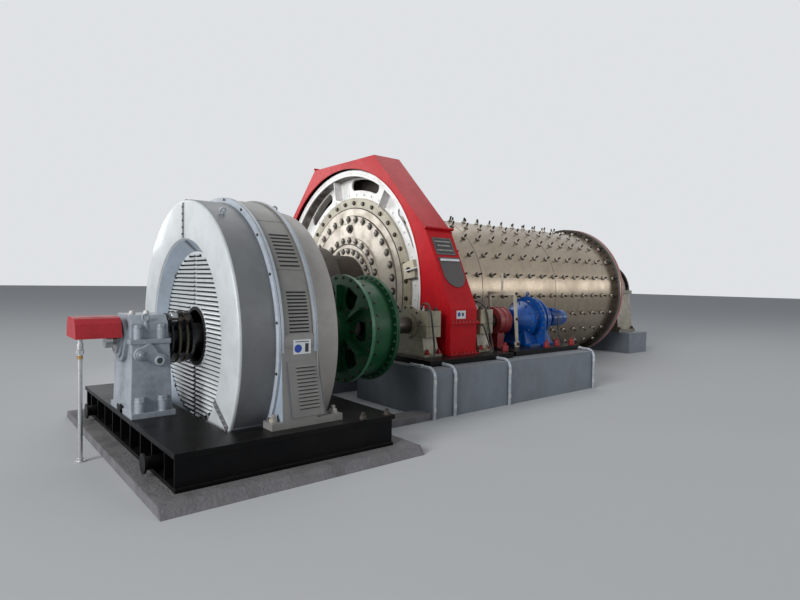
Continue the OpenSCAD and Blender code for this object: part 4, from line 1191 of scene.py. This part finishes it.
@dataclass
class GearGuard(Assembly):
    """Red plate guard round the girth gear, in bolted segments."""

    x0: float = 0.74
    x1: float = 1.24
    opening: float = 2.028
    slope: float = math.atan2(1098, 539)

    def build(self) -> None:
        """Dress the guard and add its bolts, edge strip, plates and cover fittings."""
        Paint.RED.dress("guard_top", "guard_front", "guard_sump", "guard_rear", "guard_pit")
        Paint.FLAP.dress("inspection_cover")
        self.opening_lip()
        self.bolts()
        self.plates()

    def opening_lip(self) -> None:
        """Thin rolled lip round the opening on the motor's side, ending at the box below, and the rear plate's inner
        face in near-black, painted shade.
        """
        a0 = -math.degrees(math.asin(0.79 / self.opening))
        s = hoop(self.x0 - 0.008, self.x0 - GAP, self.opening, self.opening + 0.008, MILL, 200, a0, 180 - 2 * a0)
        self.add("guard_lip", s, Paint.RED)
        # Near-black annulus on the rear plate's inside: painted shade inside the guard.
        self.add("guard_inner_face", hoop(self.x1 - 0.0118, self.x1 - 0.0108, 1.655, 2.027, MILL, 120, -15.0, 210.0),
                 Paint.SHADE)

    def _row(self, a: Sequence[float], b: Sequence[float], n: int, normal: Sequence[float]) -> Shape:
        """Bolts at even steps from one point to another."""
        t = np.linspace(0, 1, n)[:, None]
        return repeated(bolt(0.018, tail=0.01), np.asarray(a) * (1 - t) + np.asarray(b) * t, np.array([normal]))

    def bolts(self) -> None:
        """Bolt rows along the segment flanges and round the box's foot."""
        a = math.atan2(926, 2095)
        n = np.array([0, math.sin(a), math.cos(a)])
        _, y, z = np.array([0, -math.cos(a), math.sin(a)]) * 2.318 + [0, 0, MILL_Z] + n * 0.0123
        rows = [self._row((self.x0, y, z), (self.x1, y, z), 8, n)]
        for z, count in ((DRIVE_Z + 0.042, 8), (SOLE_TOP + 0.0126, 7)):
            rows.append(self._row((self.x0 + 0.02, -2.658, z), (self.x1 - 0.02, -2.658, z), count, (0, 0, 1)))
        self.add("guard_bolts", joined(rows), Paint.RED_EDGE)

    def on_slope(self, outline: Array, x: float, low: float, thick: float, lift: float) -> Shape:
        """Plate on the slanted face.

        Args:
            outline: Corner points, across and up the slope, about the plate's own origin.
            x: Where that origin lies along the mill.
            low: Its height above the mill's axis.
            thick: Thickness of the plate.
            lift: Gap under it.

        Returns:
            The plate in place.
        """
        u = np.array([0, math.cos(self.slope), math.sin(self.slope)])
        n = np.array([0, -math.sin(self.slope), math.cos(self.slope)])
        o = np.array([x, -2.095 - (0.926 - low) * 539 / 1098, MILL_Z + low]) + n * lift
        v = prism(outline, Axis.Z, 0, thick)
        return Shape(o + v.verts[:, :1] * np.array([1.0, 0, 0]) + v.verts[:, 1:2] * u + v.verts[:, 2:] * n, v.faces)

    def plates(self) -> None:
        """Bare plate on the slanted front, the flap's pale hinge strip and a bare sign with a blue disc on the box."""
        x, low = 0.988, 0.68
        self.add("maker_plate_bare", self.on_slope(rounded(0.376, 0.274, 0.01, 3), x, low, 0.004, GAP), Paint.PLATE)
        bars = [(0.35, 0.005, 0, 0.122, 0.002), (0.35, 0.005, 0, -0.122, 0.002), (0.005, 0.244, 0.172, 0, 0.002),
                (0.005, 0.244, -0.172, 0, 0.002), (0.30, 0.020, 0, 0.075, 0.004), (0.24, 0.020, 0, 0.010, 0.004),
                (0.30, 0.020, 0, -0.062, 0.004)]
        lines = [self.on_slope(rounded(w, h, r, 2) + [cx, cy], x, low, 0.0012, 0.0044) for w, h, cx, cy, r in bars]
        self.add("maker_plate_border", joined(lines), Paint.BOLT)
        hinge = self.on_slope(rounded(0.36, 0.034, 0.006, 3), 1.004, 0.478, 0.016, 0.0126)
        self.add("cover_hinge", hinge, Paint.SIGN, "red_paint", bevel=0.003)
        self.add("box_sign_bare", box((0.848, -2.6375, 1.845), (1.019, -2.6343, 1.955)), Paint.SIGN)
        self.add("box_sign_disc", prism(circle(0.892, 1.905, 0.030, 24), Axis.Y, -2.6385, -2.6376), Paint.SIGN_BLUE)
        self.add("box_sign_mark", box((0.945, -2.6385, 1.880), (0.985, -2.6376, 1.925)), Paint.PLATE)


@dataclass
class GirthGear(Assembly):
    """White web ring, toothed rim and the splice blocks."""

    body: ClassVar[Body] = Body.MILL

    def build(self) -> None:
        """Dress the gear and add its side ring, splice blocks and bolts."""
        Paint.WHITE.dress("gear_web")
        Paint.GEAR.dress("gear_rim_a", "gear_rim_b")
        self.add("gear_side_ring", hoop(0.798, 0.8197, 1.957, 2.008, MILL, 240), Paint.WHITE)
        self.add("web_pocket_grease", hoop(0.822, 0.9808, 1.9135, 1.9147, MILL, 240), Paint.GREASE)
        blocks = [hoop(x0, x1, low, 1.742, MILL, 12, a, 9.0)
                  for a in (163.0, 343.0) for x0, x1, low in ((0.886, 0.9362, 1.500), (0.930, 0.9807, 1.585))]
        self.add("splice_blocks", joined(blocks), Paint.CREAM, bevel=0.006)
        self.add("splice_bolts", repeated(bolt(0.040, tail=0.008), ring_points(0.886, 1.625, 2, MILL, 167.5),
                                          TO_MOTOR), Paint.STUD)
        self.add("web_bolts", repeated(bolt(0.020), ring_points(0.981, 1.635, 48, MILL, 3), TO_MOTOR), Paint.WHITE,
                 "steel")


@dataclass
class MillBody(Assembly):
    """Shell, heads and trunnions, with the liner bolts."""

    body: ClassVar[Body] = Body.MILL
    shell_r: float = 1.360
    rows: int = 23
    columns: int = 13
    first_x: float = 2.611
    pitch: float = 0.366

    def build(self) -> None:
        """Make the mill's surfaces and bolts."""
        self.shell()
        self.drive_head()
        self.feed_head()
        self.liner_bolts()
        self.head_bolts()

    def shell(self) -> None:
        """Smooth rolled shell with its two end flanges and its weld seams."""
        r = self.shell_r
        p = [(1.012, r - 0.07), (1.012, 1.575), (1.060, 1.575), (1.060, r), (7.130, r), (7.130, 1.47), (7.24, 1.47),
             (7.24, r - 0.07)]
        self.add("shell_plate", lathe(p, MILL, 256), Paint.SHELL, replaces=("mill_shell",))
        bead = ((-0.010, -0.002), (-0.004, 0.0035), (0.004, 0.0035), (0.010, -0.002))
        seams = [lathe([(x + a, r + b) for a, b in bead], MILL, 256) for x in (2.785, 4.93)]
        self.add("shell_welds", joined(seams), Paint.WELD)

    def drive_head(self) -> None:
        """Drive head: stepped rings round the journal, the flange that carries the gear, and dark rings of painted
        shade in the grooves between.
        """
        Paint.HEAD.dress("drive_head")
        self.add("drive_flange_face", hoop(0.9365, 0.9407, 1.412, 1.572, MILL, 256), Paint.OLIVE)
        # Thin dark rings in the steps between the head's rings: painted shade in the grooves.
        gaps = [hoop(x - 0.0012, x - GAP, r - w, r, MILL, 200)
                for x, r, w in ((0.9407, 1.411, 0.020), (0.925, 1.279, 0.013), (0.862, 0.802, 0.018),
                                (0.850, 0.722, 0.012))]
        self.add("head_groove_shade", joined(gaps), Paint.SEAM, "tan_paint")
        self.add("trunnion_end", hoop(-0.6253, -0.6203, 0.402, 0.588, MILL, 128), Paint.DARK)
        self.add("trunnion_skirt", hoop(0.4203, 0.842, 0.587, 0.592, MILL, 128), Paint.DARK)
        plug = stack([(24, 0.075, 0.0, 0.020, 0.004), (6, 0.045, 0.02, 0.055, 0.005)])
        self.add("head_plug", repeated(plug, ring_points(0.8965, 1.05, 1, MILL, 91.5), TO_MOTOR), Paint.STUD)

    def feed_head(self) -> None:
        """Feed head and collar in dark brown paint, with the far flange's bolts."""
        Paint.DARK.dress("feed_head", "feed_collar")
        self.add("far_flange_face", hoop(7.1285, 7.1297, 1.3610, 1.4700, MILL, 240), Paint.DARK, "tan_paint")
        p = ring_points(7.1283, 1.415, 60, MILL, 2)
        self.add("far_flange_bolts", repeated(bolt(0.03, tail=0.02), p, TO_MOTOR), Paint.STUD)
        self.add("far_flange_band", hoop(7.130, 7.200, 1.4703, 1.4723, MILL, 200), Paint.DARK, "tan_paint")
        self.add("far_flange_edge", hoop(7.2605, 7.2995, 1.4705, 1.4785, MILL, 200), Paint.PINK)

    def liner_bolts(self) -> None:
        """Liner studs: washer, nut and thread in rows 360 over the row count apart, every second row shifted."""
        row = np.arange(self.rows)
        shift = np.where(row % 2 == 0, 0.062, -0.015)
        x = (self.first_x + np.arange(-4, self.columns) * self.pitch)[None, :] + shift[:, None]
        t = np.radians(135.5 + row * 360 / self.rows)[:, None] + 0 * x
        p = np.stack([x, MILL[0] + self.shell_r * np.cos(t), MILL[1] + self.shell_r * np.sin(t)], -1).reshape(-1, 3)
        p = p[(p[:, 0] > 1.15) & (p[:, 0] < 7.08)]
        for name, layer, finish in (("liner_washers", (14, 0.046, 0, 0.010, 0.002), Paint.STUD),
                                    ("liner_bolts", (6, 0.031, 0.0103, 0.044, 0.005), Paint.LINER_NUT),
                                    ("liner_threads", (8, 0.0165, 0.040, 0.108, 0.003), Paint.THREAD)):
            self.add(name, repeated(stack([layer]), p, radial(p, MILL)), finish)

    def head_bolts(self) -> None:
        """Bolts in the drive head's rings: deep-set dark ones in the flange, light nuts on the inner rings, each nut
        over a dark disc that is its painted shadow.
        """
        self.add("flange_bolts", repeated(bolt(0.036), ring_points(0.9363, 1.486, 36, MILL, 3), TO_MOTOR), Paint.STUD)
        rings = ((0.8957, 1.210, 36, 9, 0.038), (0.8617, 0.853, 28, 4, 0.036), (0.8497, 0.671, 28, 4, 0.032))
        # Dark discs under the nuts: painted shadows.
        shadow_discs = [repeated(stack([(18, d * 1.65, 0, 0.004, 0.001)]), ring_points(x, r, n, MILL, a), TO_MOTOR)
                for x, r, n, a, d in rings]
        self.add("head_nut_painted_shadows", joined(shadow_discs), Paint.STUD)
        nuts = [repeated(bolt(d, tail=0.025, washer=False), ring_points(x - 0.0043, r, n, MILL, a), TO_MOTOR)
                for x, r, n, a, d in rings]
        self.add("head_nuts", joined(nuts), Paint.NUT)


@dataclass
class MainBearings(Assembly):
    """Bearings that carry the mill's two trunnions."""

    def build(self) -> None:
        """Dress both bearings and bolt their caps."""
        Paint.HOOD.dress("drive_bearing")
        Paint.HOUSING.dress("feed_bearing")
        sets = []
        for x, base in ((0.0, PLINTH_TOP), (8.54, SHOP_FLOOR + 0.484)):
            for dx, y, z in ((0.24, 0.79, MILL_Z + 0.04), (0.30, 0.91, base + 0.0603)):
                sets.append(repeated(bolt(0.044, tail=0.03), grid((x - dx, x + dx), (-y, y), z), UP))
            for s, normal in ((-0.3103, TO_MOTOR), (0.3103, TO_FEED)):
                sets.append(repeated(bolt(0.022), ring_points(x + s, 0.66, 24, MILL, 6), normal))
        self.add("main_bearing_bolts", joined(sets), Paint.STUD, "mid_grey")


@dataclass
class InchingDrive(Assembly):
    """Coupling guard, gearbox, small motor and engaging lever."""

    def build(self) -> None:
        """Dress and detail the slow drive."""
        Paint.BLUE.dress("slow_drive_gearbox", "slow_drive_motor")
        Paint.DARK_RED.dress("coupling_guard")
        Paint.TAN.dress("engaging_lever")
        rings = [hoop(a, a + 0.02, 0.2003, 0.210, DRIVE, 96) for a in (1.987, 2.108, 2.228)]
        self.add("coupling_guard_bands", joined(rings), Paint.DARK_RED)
        rows = [repeated(bolt(d), ring_points(x, r, n, DRIVE, 5), normal)
                for d, x, r, n, normal in ((0.020, 2.8497, 0.350, 24, TO_MOTOR), (0.016, 2.6397, 0.272, 12, TO_MOTOR),
                                           (0.018, 2.9923, 0.333, 20, TO_FEED))]
        self.add("gearbox_bolts", joined(rows), Paint.BLUE_BOLT)
        ribs = [hoop(x, x + 0.007, 0.2903, 0.306, DRIVE, 72) for x in (2.715, 2.749, 2.783, 2.817)]
        self.add("gearbox_ribs", joined(ribs), Paint.BLUE)
        stem = stack([(12, 0.022, 0, 0.020, 0.003)]).moved((2.867, DRIVE_Y, DRIVE_Z + 0.3683))
        self.add("gearbox_eye", eye((2.867, DRIVE_Y, 2.164), 0.030, 0.009) + stem, Paint.BLUE)
        fin = box((3.445, 0.1245, -0.0025), (3.690, 0.142, 0.0025)).moved((0, *DRIVE))
        fins = [fin.turned_x(a, DRIVE) for a in range(0, 360, 12) if not 72 < a < 108]
        self.add("small_motor_fins", joined(fins), Paint.BLUE)
        pins = np.array([(2.235, DRIVE_Y - 0.2743, 2.178), (2.275, DRIVE_Y - 0.2623, 1.790),
                         (2.316, DRIVE_Y - 0.2693, 1.412)])
        pin = stack([(16, 0.024, 0, 0.016, 0.003), (6, 0.015, 0.016, 0.030, 0.002)])
        self.add("lever_joints", repeated(pin, pins, TO_PINION_SIDE), Paint.STUD)
        self.add("gearbox_tag", patch(0.3065, DRIVE, 2.755, 2.80, 104, 112, 0.0015, 4), Paint.YELLOW)
        cable = smooth_path([(3.52, -2.390, 1.840), (3.47, -2.430, 1.760), (3.41, -2.470, 1.640),
                             (3.39, -2.500, 1.520), (3.42, -2.540, 1.400), (3.445, -2.60, 1.330),
                             (3.450, -2.67, 1.3095)])
        self.add("small_motor_cable", tube(cable, 0.0115), Paint.RUBBER)


@dataclass(frozen=True)
class Lamp:
    """One soft rectangular lamp that no camera ray sees.

    Args:
        name: Name of the light.
        at: Where it stands.
        to: What it points at.
        wide: Width of its face.
        high: Height of its face.
        watts: Power.
        spread: Angle of its beam, in degrees.
    """

    name: str
    at: tuple[float, float, float]
    to: tuple[float, float, float]
    wide: float
    high: float
    watts: float
    spread: float = 180.0

    def build(self) -> None:
        """Put the lamp into the scene."""
        d = bpy.data.lights.new(self.name, "AREA")
        d.shape, d.size, d.size_y, d.energy = "RECTANGLE", self.wide, self.high, self.watts
        d.spread = math.radians(self.spread)
        o = bpy.data.objects.new(self.name, d)
        bpy.context.scene.collection.objects.link(o)
        o.location = self.at
        o.visible_camera = False
        o.rotation_euler = (Vector(self.to) - Vector(self.at)).to_track_quat("-Z", "Y").to_euler()


# Key from the left, a lamp over the mill, a fill, one for the long glint on the shell and one for the white web.
LAMPS = (
    Lamp("key", (-30.0, -9.0, 12.0), (-0.5, -1.5, 1.8), 14.0, 14.0, 8600.0),
    Lamp("top", (6.0, 3.0, 13.0), (4.0, -0.5, 1.0), 11.0, 11.0, 400.0),
    Lamp("fill", (9.0, -20.0, 7.0), (4.0, -1.4, 1.5), 8.0, 8.0, 400.0),
    Lamp("glint", (25.0, -17.0, 5.3), (4.5, -1.4, 2.2), 12.0, 4.5, 480.0),
    Lamp("crown", (-2.7, 4.6, 4.4), (0.4, 0.2, 2.5), 3.0, 3.0, 34.0, 84.0),
)


@dataclass
class Studio:
    """Camera at the photograph's angle, plain pale floor and soft light."""

    place: tuple[float, float, float] = (-4.4865, -7.8644, 2.348)
    yaw: float = 50.287
    pitch: float = 2.014
    roll: float = 0.966
    focal_px: float = 555.79

    def camera(self) -> None:
        """Set the camera: forward from yaw and pitch, then rolled about it."""
        y, p, r = (math.radians(a) for a in (self.yaw, self.pitch, self.roll))
        fwd = Vector((math.cos(y) * math.cos(p), math.sin(y) * math.cos(p), -math.sin(p)))
        right = Vector((math.sin(y), -math.cos(y), 0.0))
        up = right.cross(fwd)
        r2 = math.cos(r) * right + math.sin(r) * up
        u2 = -math.sin(r) * right + math.cos(r) * up
        data = bpy.data.cameras.new("camera")
        data.sensor_width = SENSOR_MM
        data.lens = self.focal_px / PHOTO_WIDTH * SENSOR_MM
        data.clip_start, data.clip_end = 0.05, 400.0
        cam = bpy.data.objects.new("camera", data)
        bpy.context.scene.collection.objects.link(cam)
        m = Matrix((r2, u2, -fwd)).transposed().to_4x4()
        m.translation = Vector(self.place)
        cam.matrix_world = m
        bpy.context.scene.camera = cam

    def _pale_for_camera(self, tree: bpy.types.NodeTree, shader: bpy.types.NodeSocket,
                         out: bpy.types.NodeSocket) -> None:
        """Show the plain backdrop to camera, glossy and transmission rays and the shader to the others."""
        g = Graph(tree)
        ray = g.add("LightPath").outputs
        seen = g.math("MAXIMUM", g.math("MAXIMUM", ray["Is Camera Ray"], ray["Is Glossy Ray"]),
                      ray["Is Transmission Ray"])
        plain = g.add("Background", {"Color": (*BACKDROP, 1.0)}).outputs[0]
        tree.links.new(g.add("MixShader", {0: seen, 1: shader, 2: plain}).outputs[0], out)

    def floor(self) -> None:
        """Pale shop floor at its own level."""
        me = bpy.data.meshes.new("floor")
        s = FLOOR_HALF
        me.from_pydata([(-s, -s, SHOP_FLOOR), (s, -s, SHOP_FLOOR), (s, s, SHOP_FLOOR), (-s, s, SHOP_FLOOR)], [],
                       [[0, 1, 2, 3]])
        o = bpy.data.objects.new("floor", me)
        bpy.context.scene.collection.objects.link(o)
        m = bpy.data.materials.new("studio_floor")
        m.use_nodes = True
        Graph(m.node_tree).feed(m.node_tree.nodes["Principled BSDF"], {
            "Base Color": (0.54, 0.55, 0.56, 1.0), "Roughness": 0.9, "Specular IOR Level": 0.15})
        me.materials.append(m)

    def lights(self) -> None:
        """World light and the soft lamps."""
        w = bpy.data.worlds.new("studio")
        bpy.context.scene.world = w
        w.use_nodes = True
        t = w.node_tree
        sky = Graph(t).feed(t.nodes["Background"], {"Color": (0.86, 0.93, 1.0, 1.0), "Strength": 0.26})
        self._pale_for_camera(t, sky.outputs[0], t.nodes["World Output"].inputs["Surface"])
        for lamp in LAMPS:
            lamp.build()
        bpy.context.scene.view_settings.view_transform = "Standard"

    def build(self) -> None:
        """Make camera, floor and light."""
        self.camera()
        self.floor()
        self.lights()


def main() -> None:
    """Build every sub-assembly in order."""
    logging.basicConfig(level=logging.INFO, format="%(name)s: %(message)s", stream=sys.stdout)
    for part in (Studio(), Foundations(), MotorBed(), Motor(), Pedestals(), Clutch(), PinionDrive(), GearGuard(),
                 GirthGear(), MillBody(), MainBearings(), InchingDrive()):
        LOG.info("building %s", type(part).__name__)
        part.build()


if __name__ == "__main__":
    main()
